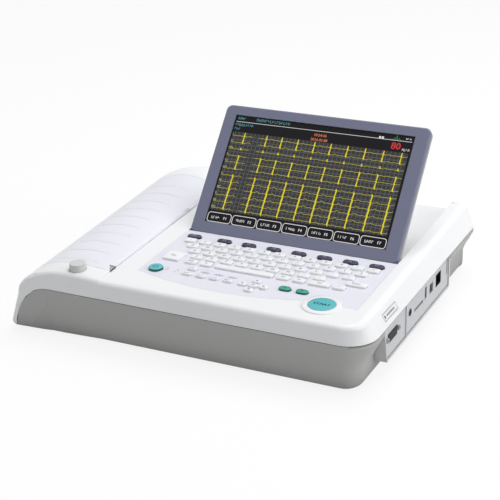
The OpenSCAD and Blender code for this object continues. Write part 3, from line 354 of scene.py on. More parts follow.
# sizes are in millimetres and become metres when a mesh is made
caseSize = {
    "left": -210.0, "right": 210.0, "front": -180.0, "rear": 180.0,
    "bottom": 3.0, "seam": 55.5, "deckFront": 76.2, "deckTilt": 1.4,  # degrees
    "frontCorner": 32.0, "rearCorner": 20.0,
    "skin": 0.02,  # the smooth form stays this far inside the solid's walls
}
deckTilt = math.radians(caseSize["deckTilt"])
deckPlace = (Matrix.Translation((0, caseSize["front"], caseSize["deckFront"]))
             @ Matrix.Rotation(deckTilt, 4, "X"))  # x, distance from the front wall, height above the deck


def deckHeight(y):
    return caseSize["deckFront"] + math.tan(deckTilt) * (y - caseSize["front"])


def makeMesh(name, bm, place=Matrix()):
    mesh = bpy.data.meshes.new(name)
    bm.to_mesh(mesh)
    bm.free()
    mesh.transform(place)
    return mesh


def takeMesh(obj):
    mesh = obj.data
    drop(obj)
    return mesh


sharpEdges = {"plain": 35, "shell": 32, "cap": 40}  # degrees; an edge that turns more stays sharp


def newPiece(name, bm, material, place=Matrix(), kind="plain"):
    bm.normal_update()
    return addPiece(name, makeMesh(name, bm, toMetres @ place), material, kind)


def addPiece(name, mesh, material, kind="plain"):
    obj = linkObject(name, mesh)
    mesh.materials.clear()
    mesh.materials.append(mats[material])
    for face in mesh.polygons:
        face.use_smooth = True
    if kind in sharpEdges:
        mesh.set_sharp_from_angle(angle=math.radians(sharpEdges[kind]))
    return obj


def loftRings(bm, rings):
    made = [[bm.verts.new(p) for p in ring] for ring in rings]
    for low, high in zip(made, made[1:]):
        for k in range(len(low)):
            m = (k + 1) % len(low)
            bm.faces.new((low[k], low[m], high[m], high[k]))
    bm.faces.new(reversed(made[0]))
    bm.faces.new(made[-1])


def arcPoints(cx, cy, r, start, end, steps):
    turns = [math.radians(start + (end - start) * k / steps) for k in range(steps + 1)]
    return [(cx + r * math.cos(a), cy + r * math.sin(a), math.cos(a), math.sin(a)) for a in turns]


def circle(cx, cy, r, count):
    return [p[:2] for p in arcPoints(cx, cy, r, 0, 360 - 360 / count, count - 1)]


def cornerArcs(left, low, right, high, r, steps):  # the first four say where the arcs have their centres
    ring = []
    for cx, cy, start in ((right, low, -90), (right, high, 0), (left, high, 90), (left, low, 180)):
        ring += [p[:2] for p in arcPoints(cx, cy, r, start, start + 90, steps)]
    return ring


def quarterTurn(steps):
    return [math.radians(90 * k / steps) for k in range(steps + 1)]


deckForm = {  # with bayForm, the smooth form of the closed case
    "innerX": -150.0,  # left end of the deck's form, inside the bay
    "lean": {"front": 7.5, "right": 14.0, "rear": 6.0},  # how far the base's walls stand in at the bottom
    "leanLow": 25.0, "leanHigh": 45.0, "leanEnd": 51.0, "leanMiddle": 3.0,
    "foot": 4.5,  # rounding at the bottom edge
    "shoulder": {"front": 5.5, "right": 10.0, "rear": 22.0},
    "shoulderLean": 7.0,  # how far the right wall leans in above the seam
    "steps": 8,
}


def wallInset(z, wFront, wRight, wRear):
    c, d = caseSize, deckForm
    s, low, high = d["lean"], d["leanLow"], d["leanHigh"]
    front = s["front"] * (c["seam"] - z) / (c["seam"] - c["bottom"])
    if z <= low:
        right, rear = s["right"], s["rear"]
    elif z <= high:
        t = (z - low) / (high - low)
        right, rear = s["right"] + (d["leanMiddle"] - s["right"]) * t, s["rear"] * (1 - t)
    else:
        t = min(1.0, (z - high) / (d["leanEnd"] - high))
        right, rear = d["leanMiddle"] * (1 - t), 0.0
    return front * wFront + right * wRight + rear * wRear


def deckRings(wall=0.0):
    c, d = caseSize, deckForm
    f, b = c["frontCorner"], c["rearCorner"]
    plan = [(d["innerX"], c["front"], 0, -1)]
    plan += arcPoints(c["right"] - f, c["front"] + f, f, -90, 0, 20)
    plan += arcPoints(c["right"] - b, c["rear"] - b, b, 0, 90, 14)
    plan += [(d["innerX"], c["rear"], 0, 1)]
    weights = [(max(0, -ny) ** 2, max(0, nx) ** 2, max(0, ny) ** 2) for _, _, nx, ny in plan]
    steps = d["steps"]
    rings = []

    def ring(zOf, insetOf):
        points = []
        for (x, y, nx, ny), w in zip(plan, weights):
            inset = insetOf(w) + c["skin"] + wall
            px, py = x - nx * inset, y - ny * inset
            points.append((px, py, zOf(w, py)))
        rings.append(points)

    for a in quarterTurn(4):
        z = c["bottom"] + d["foot"] * (1 - math.cos(a)) + c["skin"] + wall
        inset = d["foot"] * (1 - math.sin(a))
        ring(lambda w, y: z, lambda w: wallInset(z, *w) + inset)
    for z in (16.0, 25.0, 30.0, 35.0, 40.0, 45.0, 48.0, 51.0, 55.5, 56.5):
        ring(lambda w, y: z, lambda w: wallInset(min(z, c["seam"]), *w))
    s = d["shoulder"]
    for k in range(steps + 1):
        t = k / steps

        def spread(w):
            r = s["front"] * w[0] + s["right"] * w[1] + s["rear"] * w[2]
            lean = d["shoulderLean"] * w[1]
            first = math.atan(lean / (c["deckFront"] - c["seam"] - r)) if lean else 0.0
            return r, lean, first + (math.pi / 2 - first) * t

        def height(w, y):
            r, _, a = spread(w)
            return deckHeight(y) - r + (r - wall) * math.sin(a) - c["skin"]

        def inward(w):
            r, lean, a = spread(w)
            return lean + r - wall - (r - wall) * math.cos(a)

        ring(height, inward)
    return rings


bayForm = {
    "right": -92.0, "crestX": -130.0, "legIn": 12.0, "legZ": 44.0, "footX": 4.0, "footZ": 5.0,
    "crestFront": 79.0, "crestRear": 98.6, "fallStart": 105.0, "fall": 40.0, "fallPower": 2.6,
    "edgeStep": 2.0, "edgeRound": 5.0, "flareFrom": -197.0, "flareTo": -157.0, "leanFade": 60.0,
}


def bayRing(y, inset):
    b, c = bayForm, caseSize
    rise = b["crestRear"] - b["crestFront"]
    crest = b["crestFront"] + rise * (y - c["front"]) / (b["fallStart"] - c["front"])
    if y > b["fallStart"]:
        past = (y - b["fallStart"]) / (c["rear"] - b["fallStart"])
        crest = b["crestRear"] - b["fall"] * past ** b["fallPower"]
    edge = min(deckHeight(y) + b["edgeStep"], crest - 2)
    left = c["left"] + b["legIn"]
    rx, rz = b["crestX"] - left - inset, crest - b["legZ"] - inset
    points = [(c["left"] + b["footX"] + inset, c["bottom"] + inset),
              (c["left"] + inset, c["bottom"] + b["footZ"])]
    for k in range(25):
        a = math.radians(180 - 90 * k / 24)
        points.append((b["crestX"] + rx * math.cos(a), b["legZ"] + rz * math.sin(a)))
    for k in range(1, 9):
        t = k / 8
        points.append((b["crestX"] + (b["right"] - b["crestX"]) * t - inset * t,
                       crest - inset - (crest - edge) * t * t))
    points.append((b["right"] - inset, c["bottom"] + inset))
    ring = []
    for x, z in points:
        t = min(1.0, max(0.0, (x - b["flareFrom"]) / (b["flareTo"] - b["flareFrom"])))
        upright = t * t * (3 - 2 * t)
        near = max(0.0, 1 - (y - c["front"]) / b["leanFade"])
        away = max(0.0, 1 - (c["rear"] - y) / b["leanFade"])
        shift = wallInset(min(z, c["seam"]), 1, 0, 0) * upright * near - wallInset(z, 0, 0, 1) * away
        ring.append((x, y + shift, z))
    return ring


def bayRings(wall=0.0):
    c, r = caseSize, bayForm["edgeRound"]
    wall += c["skin"] * 10
    rings = []
    for a in quarterTurn(6):
        rings.append(bayRing(c["front"] + c["skin"] + r * (1 - math.cos(a)), r * (1 - math.sin(a)) + wall))
    length, count = c["rear"] - c["front"] - 2 * r, 26
    for k in range(1, count):
        rings.append(bayRing(c["front"] + r + length * k / count, wall))
    for a in quarterTurn(6):
        rings.append(bayRing(c["rear"] - c["skin"] - r * (1 - math.sin(a)), r * (1 - math.cos(a)) + wall))
    return [ring[::-1] for ring in rings]


def bareObject(name, bm):
    bmesh.ops.recalc_face_normals(bm, faces=bm.faces)
    return linkObject(name, makeMesh(name, bm, toMetres))


def loftObject(name, rings):
    bm = bmesh.new()
    loftRings(bm, rings)
    return bareObject(name, bm)


def evaluated(obj):
    bpy.context.view_layer.update()
    return bpy.data.meshes.new_from_object(obj.evaluated_get(bpy.context.evaluated_depsgraph_get()))


def combine(target, tool, operation):
    step = target.modifiers.new("form", "BOOLEAN")
    step.operation = operation
    step.solver = "MANIFOLD"
    step.object = tool
    made = evaluated(target)
    target.modifiers.clear()
    target.data = made


def smoothCase(name, wall=0.0):
    deck = loftObject(name, deckRings(wall))
    extras = [loftObject("formBay", bayRings(wall))]
    if not wall:
        r = startRing
        plan = circle(r["x"], r["v"], r["outer"], 48)
        rings = [[deckPlace @ Vector((*p, n)) for p in plan] for n in r["heights"]]
        extras.append(loftObject("formRing", rings))
    for extra in extras:
        combine(deck, extra, "UNION")
    drop(*extras)
    return deck


def nodeShape(node, join):  # corners nearer than this become one
    bm = bmesh.new()
    bm.from_mesh(frame["nodes"][node].data)
    bmesh.ops.remove_doubles(bm, verts=bm.verts, dist=join)
    return bm


def nodeCopy(node, name):
    return linkObject(name, makeMesh(name, nodeShape(node, 0.000002)))


def blocks(x0, x1, cells):  # one box for each y from and to, z from and to
    bm = bmesh.new()
    for y0, y1, z0, z1 in cells:
        loftRings(bm, [[(x0, y0, z), (x1, y0, z), (x1, y1, z), (x0, y1, z)] for z in (z0, z1)])
    return bm


def boxObject(name, low, high):
    (x0, y0, z0), (x1, y1, z1) = low, high
    return bareObject(name, blocks(x0, x1, [(y0, y1, z0, z1)]))


def prismObject(name, outline, low, high):
    return loftObject(name, [[(x, y, z) for x, y in outline] for z in (low, high)])


def slabObject(name, outline, spare):  # x and z, from before the front to behind the rear
    ends = caseSize["front"] - spare, caseSize["rear"] + spare
    return loftObject(name, [[(x, y, z) for x, z in outline] for y in ends])


startRing = {"x": 147.0, "v": 37.0, "outer": 21.5, "heights": (-3, 3.2)}  # room for the start button's ring
wallSkin = {  # where the smooth form is rounder than the solid, the shells get a wall of their own
    "wall": 2.4, "shave": 1.2, "gap": 0.1,
    "topShell": (((171.0, -182.0, 55.5), (212.0, -142.0, 120.0)),
                 ((188.0, -143.0, 55.5), (212.0, 182.0, 120.0)),
                 ((-212.0, 95.05, 0.0), (-90.0, 182.0, 120.0)),
                 ((-176.0, -182.0, 71.0), (-84.0, -155.05, 120.0))),
    "paperCover": (((-212.0, -154.6, 60.0), (-92.4, 94.6, 120.0)),),
    "baseShell": (((171.0, -182.0, 0.0), (212.0, -142.0, 55.3)), ((188.0, 152.0, 0.0), (212.0, 182.0, 55.3))),
}


def seamPath(offset):  # the seam between the shells, from the right end down the arch on the left
    c, s = caseSize, seamLine
    archX = c["left"] + s["legWidth"] + s["archWidth"]
    path = [(c["right"] + 1, c["seam"] + offset)]
    for k in range(31):
        a = math.radians(90 + 3 * k)
        path.append((archX + (s["archWidth"] + offset) * math.cos(a), (c["seam"] + offset) * math.sin(a)))
    return path


def belowSeam(gap):
    c = caseSize
    outline = [(c["right"] + 1, -5)] + seamPath(-gap) + [(c["left"] + seamLine["legWidth"] + gap, -5)]
    return slabObject("belowSeam", outline, 3)


def addWallSkin(obj, form, middle, inner):
    under = belowSeam(wallSkin["gap"])
    for low, high in wallSkin[obj.name]:
        shave = boxObject("formShave", low, high)
        block = boxObject("formWall", low, high)
        if obj.name == "topShell":
            combine(shave, under, "DIFFERENCE")
            combine(block, under, "DIFFERENCE")
        combine(shave, middle, "DIFFERENCE")
        combine(obj, shave, "DIFFERENCE")
        combine(block, form, "INTERSECT")
        combine(block, inner, "DIFFERENCE")
        combine(obj, block, "UNION")
        drop(shave, block)
    drop(under)


frontCuts = {  # the paper exit's notch and the well around the release button
    "notch": ((-99.6, -142.8), (-92.0, -142.2), (-92.0, -155.0)), "notchDepth": 0.5, "depth": 2.6,
    "button": (-125.0, -166.0), "well": 9.7, "reach": (70, 110), "wellReach": (60, 110),  # heights cut
}


def addFrontCuts(shell, cover):
    s = frontCuts
    under = smoothCase("formInner", s["notchDepth"])
    deep = smoothCase("formInner", s["depth"])
    notch = prismObject("notch", s["notch"], *s["reach"])
    combine(notch, under, "DIFFERENCE")
    combine(cover, notch, "DIFFERENCE")
    floor = prismObject("exitFloor", s["notch"], *s["reach"])
    combine(floor, under, "INTERSECT")
    combine(floor, deep, "DIFFERENCE")
    well = prismObject("well", circle(*s["button"], s["well"], 48), *s["wellReach"])
    combine(well, deep, "DIFFERENCE")
    combine(shell, well, "DIFFERENCE")
    drop(notch, well, under, deep)
    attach(addPiece("paperExit", takeMesh(floor), "exitOlive"), "cover")


seamLine = {  # the groove between the shells, and the dark strip of painted shade at the foot of it
    "archWidth": 44.5, "legWidth": 8.5, "half": 0.36, "depth": 0.9,
    "stripAt": 0.45, "stripDepth": 1.3, "stripSpare": 0.2,
}


def seamBand(name, half):
    return slabObject(name, seamPath(half) + seamPath(-half)[::-1], 1)


def addSeam(shells):
    s = seamLine
    groove, strip = seamBand("seamGroove", s["half"]), seamBand("seamPaintedShadow", s["half"] + s["stripSpare"])
    skin = smoothCase("formSkin", s["stripAt"])
    combine(strip, skin, "INTERSECT")
    for obj, depth in ((groove, s["depth"]), (strip, s["stripDepth"])):
        inner = smoothCase("formInner", depth)
        combine(obj, inner, "DIFFERENCE")
        drop(inner)
    for obj in shells:
        combine(obj, groove, "DIFFERENCE")
    drop(skin, groove)
    # the dark strip is painted shade in the groove between the shells
    seam = addPiece("seamPaintedShadow", takeMesh(strip), "seamPaintedShade")
    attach(seam, "case")


coverLines = {  # fine lines across the paper cover
    "count": 10, "first": -145.6, "pitch": 22.6, "width": 0.5, "depth": 0.18,
    "x": (-164.0, -112.0), "z": (70, 110),
}


def addCoverLines(obj):
    s = coverLines
    inner = smoothCase("formInner", s["depth"])
    for k in range(s["count"]):
        y = s["first"] + k * s["pitch"]
        line = boxObject("line", (s["x"][0], y, s["z"][0]), (s["x"][1], y + s["width"], s["z"][1]))
        combine(line, inner, "DIFFERENCE")
        combine(obj, line, "DIFFERENCE")
        drop(line)
    drop(inner)


def smoothShell(obj):
    step = obj.modifiers.new("normals", "WEIGHTED_NORMAL")
    step.keep_sharp = True
    step.weight = 50


shellPieces = (  # node, piece, body, material
    ("top_shell", "topShell", "case", "whiteShell"),
    ("printer_cover", "paperCover", "cover", "coverWhite"),
    ("bottom_shell", "baseShell", "case", "greyBase"),
)


def addShells():
    form = smoothCase("form")
    skin = smoothCase("formInner", wallSkin["wall"])
    middle = smoothCase("formMiddle", wallSkin["shave"])
    made = {}
    for node, name, body, material in shellPieces:
        obj = made[name] = nodeCopy(node, name)
        combine(obj, form, "INTERSECT")
        addWallSkin(obj, form, middle, skin)
    addFrontCuts(made["topShell"], made["paperCover"])
    addCoverLines(made["paperCover"])
    addSeam([made["topShell"], made["baseShell"]])
    for node, name, body, material in shellPieces:
        obj = addPiece(name, takeMesh(made[name]), material, "shell")
        smoothShell(obj)
        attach(obj, body)
        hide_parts(node)
    drop(form, skin, middle)


addShells()

print("stage: side panel")

panelDetails = {
    "face": 209.2, "proud": 0.12, "field": 207.7, "fieldProud": 0.06, "sunk": 0.4,
    "front": -121.5, "rear": 78.3, "low": 15.6, "top": 54.6, "rim": 2.4,
    # dark strips of painted shade along the fields' grooves and above the bottom rim
    "shades": ((-63.0, -61.2, 18.5, 54.4), (70.6, 73.4, 34.0, 54.4), (-119.0, 75.0, 18.1, 18.9)),  # y, z
}
sideLabel = {  # an outline with a mark and bars, on the right wall above the patient socket
    "x": (195, 212), "y": (-124.0, -88.0), "z": (61.5, 68.5), "line": 0.4, "thick": 0.04,
    "mark": (-120.0, 1.3),  # y and half size
    "bars": (-115.5, 3.6, 6, 2.4, 0.7),  # first y, pitch, count, width, half height
}


def addPanelDetails():
    s = panelDetails
    upper = s["low"] + s["rim"]
    rim = (s["front"], s["rear"], s["low"], upper), (s["rear"] - s["rim"], s["rear"], upper, s["top"])
    bm = blocks(s["face"] - s["sunk"], s["face"] + s["proud"], rim)
    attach(newPiece("panelRim", bm, "panelRim"), "case")
    # thin strips of painted shade on the panel's fields
    bm = blocks(s["field"] - s["sunk"], s["field"] + s["fieldProud"], s["shades"])
    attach(newPiece("panelPaintedGrooveShade", bm, "panelPaintedShade"), "case")


def addSideLabel():
    s = sideLabel
    y0, y1 = s["y"]
    z0, z1 = s["z"]
    w, middle = s["line"], (z0 + z1) / 2
    markY, markR = s["mark"]
    first, pitch, count, width, half = s["bars"]
    cells = [(y0, y1, z0, z0 + w), (y0, y1, z1 - w, z1), (y0, y0 + w, z0 + w, z1 - w),
             (y1 - w, y1, z0 + w, z1 - w), (markY - markR, markY + markR, middle - markR, middle + markR)]
    for y in (first + pitch * k for k in range(count)):
        cells.append((y, y + width, middle - half, middle + half))
    outer, form = smoothCase("formOuter", -s["thick"]), smoothCase("formInner", 0)
    label = bareObject("label", blocks(*s["x"], cells))
    combine(label, outer, "INTERSECT")
    combine(label, form, "DIFFERENCE")
    drop(outer, form)
    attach(addPiece("sideLabel", takeMesh(label), "labelLine"), "case")


addPanelDetails()
addSideLabel()

print("stage: display")

displaySize = {
    "place": (58.0, -18.8655, 70.6352), "tilt": 48.6,
    "halfWidth": 124.5, "low": 3.55, "high": 162.65, "face": 9.5, "back": -5.5, "split": 4.5,
    "corner": 7.2, "faceRound": 2.4, "backRound": 6.6, "knuckleTop": 9.0, "lowSpare": 0.6, "skin": 0.02,
}
displayPlace = (Matrix.Translation(displaySize["place"])
                @ Matrix.Rotation(math.radians(displaySize["tilt"]), 4, "X"))


def displayOutline(inset, z):
    s = displaySize
    r = s["corner"]
    w = s["halfWidth"] - r
    ring = cornerArcs(-w, s["low"] + r - s["lowSpare"], w, s["high"] - r, r - inset, 8)
    return [displayPlace @ Vector((x, y, z)) for x, y in ring]


def displayForm(name, withKnuckles):
    s = displaySize
    skin, r = s["skin"], s["backRound"]
    rings = []
    for a in quarterTurn(8):
        rings.append(displayOutline(r * (1 - math.sin(a)) + skin, s["back"] + skin + r * (1 - math.cos(a))))
    r = s["faceRound"]
    for a in quarterTurn(6):
        rings.append(displayOutline(r * (1 - math.cos(a)) + skin, s["face"] - skin - r * (1 - math.sin(a))))
    form = loftObject(name, rings)
    if withKnuckles:
        w = s["halfWidth"] + 1
        plan = ((-w, -20), (w, -20), (w, s["knuckleTop"]), (-w, s["knuckleTop"]))
        knuckles = loftObject("formKnuckles", [[displayPlace @ Vector((*p, z)) for p in plan]
                                               for z in (-20, s["split"] - 0.05)])
        combine(form, knuckles, "UNION")
        drop(knuckles)
    return form


def addDisplay():
    for node, name, material, withKnuckles in (
            ("display_front", "displayBezel", "displayGrey", False),
            ("display_back", "displayBack", "displaySide", True)):
        form = displayForm("form", withKnuckles)
        piece = nodeCopy(node, name)
        combine(piece, form, "INTERSECT")
        drop(form)
        obj = addPiece(name, takeMesh(piece), material, "shell")
        smoothShell(obj)
        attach(obj, "display")
        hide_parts(node)


addDisplay()

print("stage: screen picture")

screenSize = {"x": -109.6, "y": 17.55, "width": 218.0, "z": 8.32, "step": 0.03}
gridArea = {"left": 0.008, "right": 0.985, "low": 15.2, "high": 112.5}
traceSettings = {
    "top": 107.6, "pitch": 8.17, "rows": 12, "width": 0.5, "spikeWidth": 0.85,
    "start": 0.012, "end": 0.983, "gap": (0.127, 0.166),
    "before": (-5.2, 1.1), "after": (7.0, 1.7), "points": 330,  # where the bumps are beside a spike, how wide
    "beats": (0.08, 0.208, 0.295, 0.386, 0.48, 0.57, 0.663, 0.759, 0.857, 0.953),
    # for each row: spike up, spike down, height of the bumps before and after it
    "shapes": ((4.6, 1.0, 0.5, 0.9), (7.4, 0.8, 0.6, 1.2), (2.2, 0.6, 0.3, 0.5), (0.8, 7.4, -0.4, -0.8),
               (2.0, 0.8, 0.3, 0.4), (7.2, 0.5, 0.5, 1.0), (1.6, 7.6, 0.4, 0.8), (3.4, 9.6, 0.4, 1.3),
               (8.0, 8.0, 0.5, 1.8), (11.0, 3.4, 0.6, 1.6), (10.5, 2.0, 0.6, 1.3), (8.4, 1.2, 0.5, 1.0)),
}
softKeys = {
    "count": 7, "first": 1.6, "pitch": 30.9, "width": 29.0, "low": 1.0, "height": 11.2,
    "line": 0.75, "corner": 3.0,
}
screenLayers = {
    "screenGrid": "litGrid", "screenTraces": "litTrace", "screenSpikes": "litSpike",
    "screenHeader": "litTeal", "screenClock": "litOrange", "screenRate": "litRed",
    "screenPulse": "litGreen", "screenFrames": "litWhite", "screenLabels": "litLabel",
}
screenWords = {
    # x, y, count, height, pitch, seed
    "header": ((3.6, 129.6, 4, 3.1, 2.6, 11), (27.0, 129.8, 15, 3.3, 2.8, 12), (2.4, 121.8, 9, 3.1, 2.6, 13),
               (2.4, 116.2, 3, 3.0, 2.6, 14)),
    # layer, words, x, y, size, stretch, bold
    "text": (("screenClock", "10:24:36", 108.5, 120.8, 4.6, 1.0, 0.14),
             ("screenClock", "2016.05.08", 108.0, 115.2, 4.6, 1.0, 0.14),
             ("screenRate", "80", 198.4, 119.6, 11.5, 0.98, 0.25)),
    "pulse": ((191, 126.9), (193.5, 127.2), (195, 129.4), (196.2, 126.8), (197.3, 132.2), (198.2, 126.6),
              (199.6, 129.2), (201, 127.2), (203, 127.0)),
}


def litMaterial(name, light):
    mat, tree, shader = newMaterial(name)
    for key, value in (("Base Color", (0.01, 0.01, 0.01)), ("Roughness", 0.3), ("Specular IOR Level", 0.15),
                       ("Emission Strength", 1.0)):
        feed(tree, shader.inputs[key], value)
    fine = noiseNode(tree, 3000.0, 1.0, objectPlace(tree))
    dim = tuple(v * 0.8 for v in light)
    tree.links.new(mixColour(tree, fine, dim, light), shader.inputs["Emission Color"])
    return mat


def gridMaterial(name, ground, line, pitch, width):
    mat = litMaterial(name, ground)
    tree = mat.node_tree
    parts = tree.nodes.new("ShaderNodeSeparateXYZ")
    tree.links.new(objectPlace(tree), parts.inputs[0])
    masks = []
    for axis in (0, 1):
        cell = mathNode(tree, "FRACT", mathNode(tree, "MULTIPLY", parts.outputs[axis], 1 / (pitch * mm)))
        masks.append(mathNode(tree, "LESS_THAN", cell, width / pitch))
    light = mixColour(tree, mathNode(tree, "MAXIMUM", *masks), ground, line)
    tree.links.new(light, tree.nodes["Principled BSDF"].inputs["Emission Color"])
    return mat


mats["litGrid"] = gridMaterial("litGrid", tone(47, 47, 48), tone(86, 86, 87), 5.0, 0.7)
litTable = {
    "litTrace": (184, 178, 66), "litSpike": (234, 216, 36), "litTeal": (88, 150, 158),
    "litOrange": (216, 120, 78), "litRed": (206, 56, 60), "litGreen": (44, 150, 78),
    "litWhite": (232, 232, 232), "litLabel": (176, 184, 120),
}
for name, rgb in litTable.items():
    mats[name] = litMaterial(name, tone(*rgb))


def strokeQuad(bm, a, b, width, z, overlap=0.5):
    a, b = Vector(a), Vector(b)
    along = b - a
    if along.length < 1e-6:
        return
    along.normalize()
    side = Vector((-along.y, along.x)) * width / 2
    a, b = a - along * width * overlap / 2, b + along * width * overlap / 2
    bm.faces.new([bm.verts.new((p.x, p.y, z)) for p in (a - side, b - side, b + side, a + side)])


def strokeLine(bm, points, width, z):
    for a, b in zip(points, points[1:]):
        strokeQuad(bm, a, b, width, z)


def middleOf(points):
    return [(min(p[k] for p in points) + max(p[k] for p in points)) / 2 for k in (0, 1)]


textMeshes = {}


def textShape(words):
    if words not in textMeshes:
        curve = bpy.data.curves.new("lettering", "FONT")
        curve.body = words
        curve.align_x, curve.align_y = "CENTER", "CENTER"
        curve.resolution_u = 2
        obj = linkObject("lettering", curve)
        made = evaluated(obj)
        x, y = middleOf([v.co for v in made.vertices])
        points = [(v.co.x - x, v.co.y - y) for v in made.vertices]
        textMeshes[words] = points, [tuple(f.vertices) for f in made.polygons]
        drop(obj)
    return textMeshes[words]


def addText(bm, words, x, y, z, size, stretch=1.0, bold=0.0):
    points, faces = textShape(words)
    for shift in ((0.0,) if not bold else (-bold, bold)):
        made = [bm.verts.new((x + shift + px * size * stretch, y + py * size, z)) for px, py in points]
        for face in faces:
            try:
                bm.faces.new([made[k] for k in face])
            except ValueError:
                pass


def addBars(bm, x, y, z, count, height, pitch, width, seed):  # strokes that stand for small print
    draw = random.Random(seed)
    for k in range(count):
        left = x + k * pitch
        low = y - height / 2 + (height * 0.3 if draw.random() < 0.2 else 0)
        strokeQuad(bm, (left, low), (left, y + height / 2), width, z, 0)
        if draw.random() < 0.75:
            level = y + height * draw.choice((-0.5, 0.0, 0.4))
            strokeQuad(bm, (left, level), (left + pitch * 0.6, level), width, z, 0)
        if draw.random() < 0.5:
            right = left + pitch * 0.6
            strokeQuad(bm, (right, y - height / 2), (right, y + height * 0.2), width, z, 0)


def screenPiece(name, bm, material):
    obj = addPiece(name, makeMesh(name, bm, toMetres), material, "flat")
    obj.matrix_world = Matrix.Translation(displayPlace.to_translation() * mm) @ displayPlace.to_3x3().to_4x4()
    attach(obj, "display")


def traceRow(r):
    s, w = traceSettings, screenSize["width"]
    up, down, before, after = s["shapes"][r]
    base = s["top"] - s["pitch"] * r
    draw = random.Random(40 + r)
    calm, spikes = [[], []], []

    def level(u):
        h = 0.12 * math.sin(u * 61 + r) + 0.08 * math.sin(u * 173 + r * 2)
        for beat in s["beats"]:
            d = (u - beat) * w
            for tall, (at, wide) in ((before, s["before"]), (after, s["after"])):
                h += tall * math.exp(-((d - at) / wide) ** 2)
        return base + h

    for k in range(s["points"] + 1):
        u = s["start"] + (s["end"] - s["start"]) * k / s["points"]
        if s["gap"][0] < u < s["gap"][1]:
            continue
        calm[0 if u < s["gap"][1] else 1].append((u * w, level(u) + draw.uniform(-0.07, 0.07)))
    for beat in s["beats"]:
        x = beat * w
        if up >= down:
            spikes.append([(x - 0.7, base), (x, base + up), (x + 0.35, base - down), (x + 0.9, base)])
        else:
            spikes.append([(x - 0.7, base), (x - 0.25, base + up), (x, base - down), (x + 0.8, base)])
    return calm, spikes


def addScreenPicture():
    s, g = screenSize, gridArea
    w, z, step = s["width"], s["z"], s["step"]
    layers = {name: bmesh.new() for name in screenLayers}
    level = (g["low"] + g["high"]) / 2
    ends = (g["left"] * w, level), (g["right"] * w, level)
    strokeQuad(layers["screenGrid"], *ends, g["high"] - g["low"], z, 0)
    for r in range(traceSettings["rows"]):
        calm, spikes = traceRow(r)
        for line in calm:
            strokeLine(layers["screenTraces"], line, traceSettings["width"], z + step)
        for line in spikes:
            strokeLine(layers["screenSpikes"], line, traceSettings["spikeWidth"], z + step * 2)
        base = traceSettings["top"] - traceSettings["pitch"] * r
        addBars(layers["screenLabels"], 2.4, base + 1.8, z + step * 3, 1 + r % 3, 2.2, 1.7, 0.45, r + 1)
    for x, y, count, height, pitch, seed in screenWords["header"]:
        addBars(layers["screenHeader"], x, y, z + step, count, height, pitch, 0.6, seed)
    frames = layers["screenFrames"]
    strokeQuad(frames, (2.0, 125.2), (w - 2.5, 126.2), 0.55, z + step, 0)
    for layer, words, x, y, size, stretch, bold in screenWords["text"]:
        addText(layers[layer], words, x, y, z + step, size, stretch, bold)
    addBars(frames, 206.5, 116.2, z + step, 4, 2.6, 2.2, 0.5, 15)
    addBars(frames, 208.0, 129.4, z + step, 3, 2.0, 2.2, 0.45, 16)
    for x in (176.6, 179.9):
        strokeQuad(frames, (x, 127.6), (x + 2.4, 127.6), 2.6, z + step, 0)
    strokeLine(layers["screenPulse"], screenWords["pulse"], 0.4, z + step)
    k = softKeys
    for n in range(k["count"]):
        left, low, r = k["first"] + k["pitch"] * n, k["low"], k["corner"]
        right, high = left + k["width"], low + k["height"]
        outline = cornerArcs(left + r, low + r, right - r, high - r, r, 5)
        strokeLine(frames, outline + outline[:1], k["line"], z + step)
        middle = (left + right) / 2
        addBars(frames, middle - 9.5, (low + high) / 2, z + step, 4, 3.0, 2.7, 0.55, 20 + n)
        addText(frames, "F%d" % (n + 1), middle + 7.0, (low + high) / 2, z + step, 4.6, 1.0, 0.1)
    shift = Matrix.Translation((s["x"], s["y"], 0))
    for name, bm in layers.items():
        bmesh.ops.transform(bm, matrix=shift, verts=bm.verts)
        screenPiece(name, bm, screenLayers[name])


addScreenPicture()

print("stage: keys")

keySettings = {
    # how far the edge of a cap is rounded, how thick its lettering is, and the painted shade on its sides, a
    # darker copy of its colour
    "edge": {"start_button": 0.5, "power_button": 1.0, "function_keys": 1.5, "copy_keys": 1.3},
    "plainEdge": 0.95, "legend": 4.8, "bold": {"start_button": 0.3}, "plainBold": 0.08,
    "sideSlope": 0.55,
    "dark": {"power_button": "keyDeep", "copy_keys": "keyDeep", "function_keys": "keyNavyPaintedSideShade"},
}
legends = {  # from the left, row by row from the rear
    "number_keys": list("`1234567890-="),
    "upper_letter_keys": list("QWERTYUIOP[]"),
    "middle_letter_keys": list("ASDFGHJKL;/"),
    "lower_letter_keys": list("ZXCVBNM,."),
    "modifier_keys": ["Shift", "Fn", "Alt", "Ins", "Del", "+"],
    "enter_key": ["Enter"],
    "escape_key": ["Esc"],
    "function_keys": ["F%d" % k for k in range(8)],
    "copy_keys": ["A", "B"],
    "start_button": ["START"],
}
legendSizes = {
    "modifier_keys": 3.4, "enter_key": 4.2, "escape_key": 4.6, "function_keys": 4.4, "copy_keys": 3.8,
    "start_button": 6.2,
}
keyMaterials = {
    "start_button": "keyTeal", "power_button": "keyTeal", "copy_keys": "keyGreen", "function_keys": "keyNavy",
}
legendInks = {"function_keys": "inkPale", "start_button": "inkTeal", "copy_keys": "inkTeal"}
printLift = 0.03  # height of the lettering above its face


def keyIslands(bm):
    left, groups = set(bm.verts), []
    while left:
        heap, group = [left.pop()], []
        while heap:
            v = heap.pop()
            group.append(v)
            for e in v.link_edges:
                o = e.other_vert(v)
                if o in left:
                    left.remove(o)
                    heap.append(o)
        groups.append(group)
    return groups


def legendPiece(name, bm, material, body):
    obj = addPiece(name, makeMesh(name, bm, toMetres @ deckPlace), material, "flat")
    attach(obj, body)


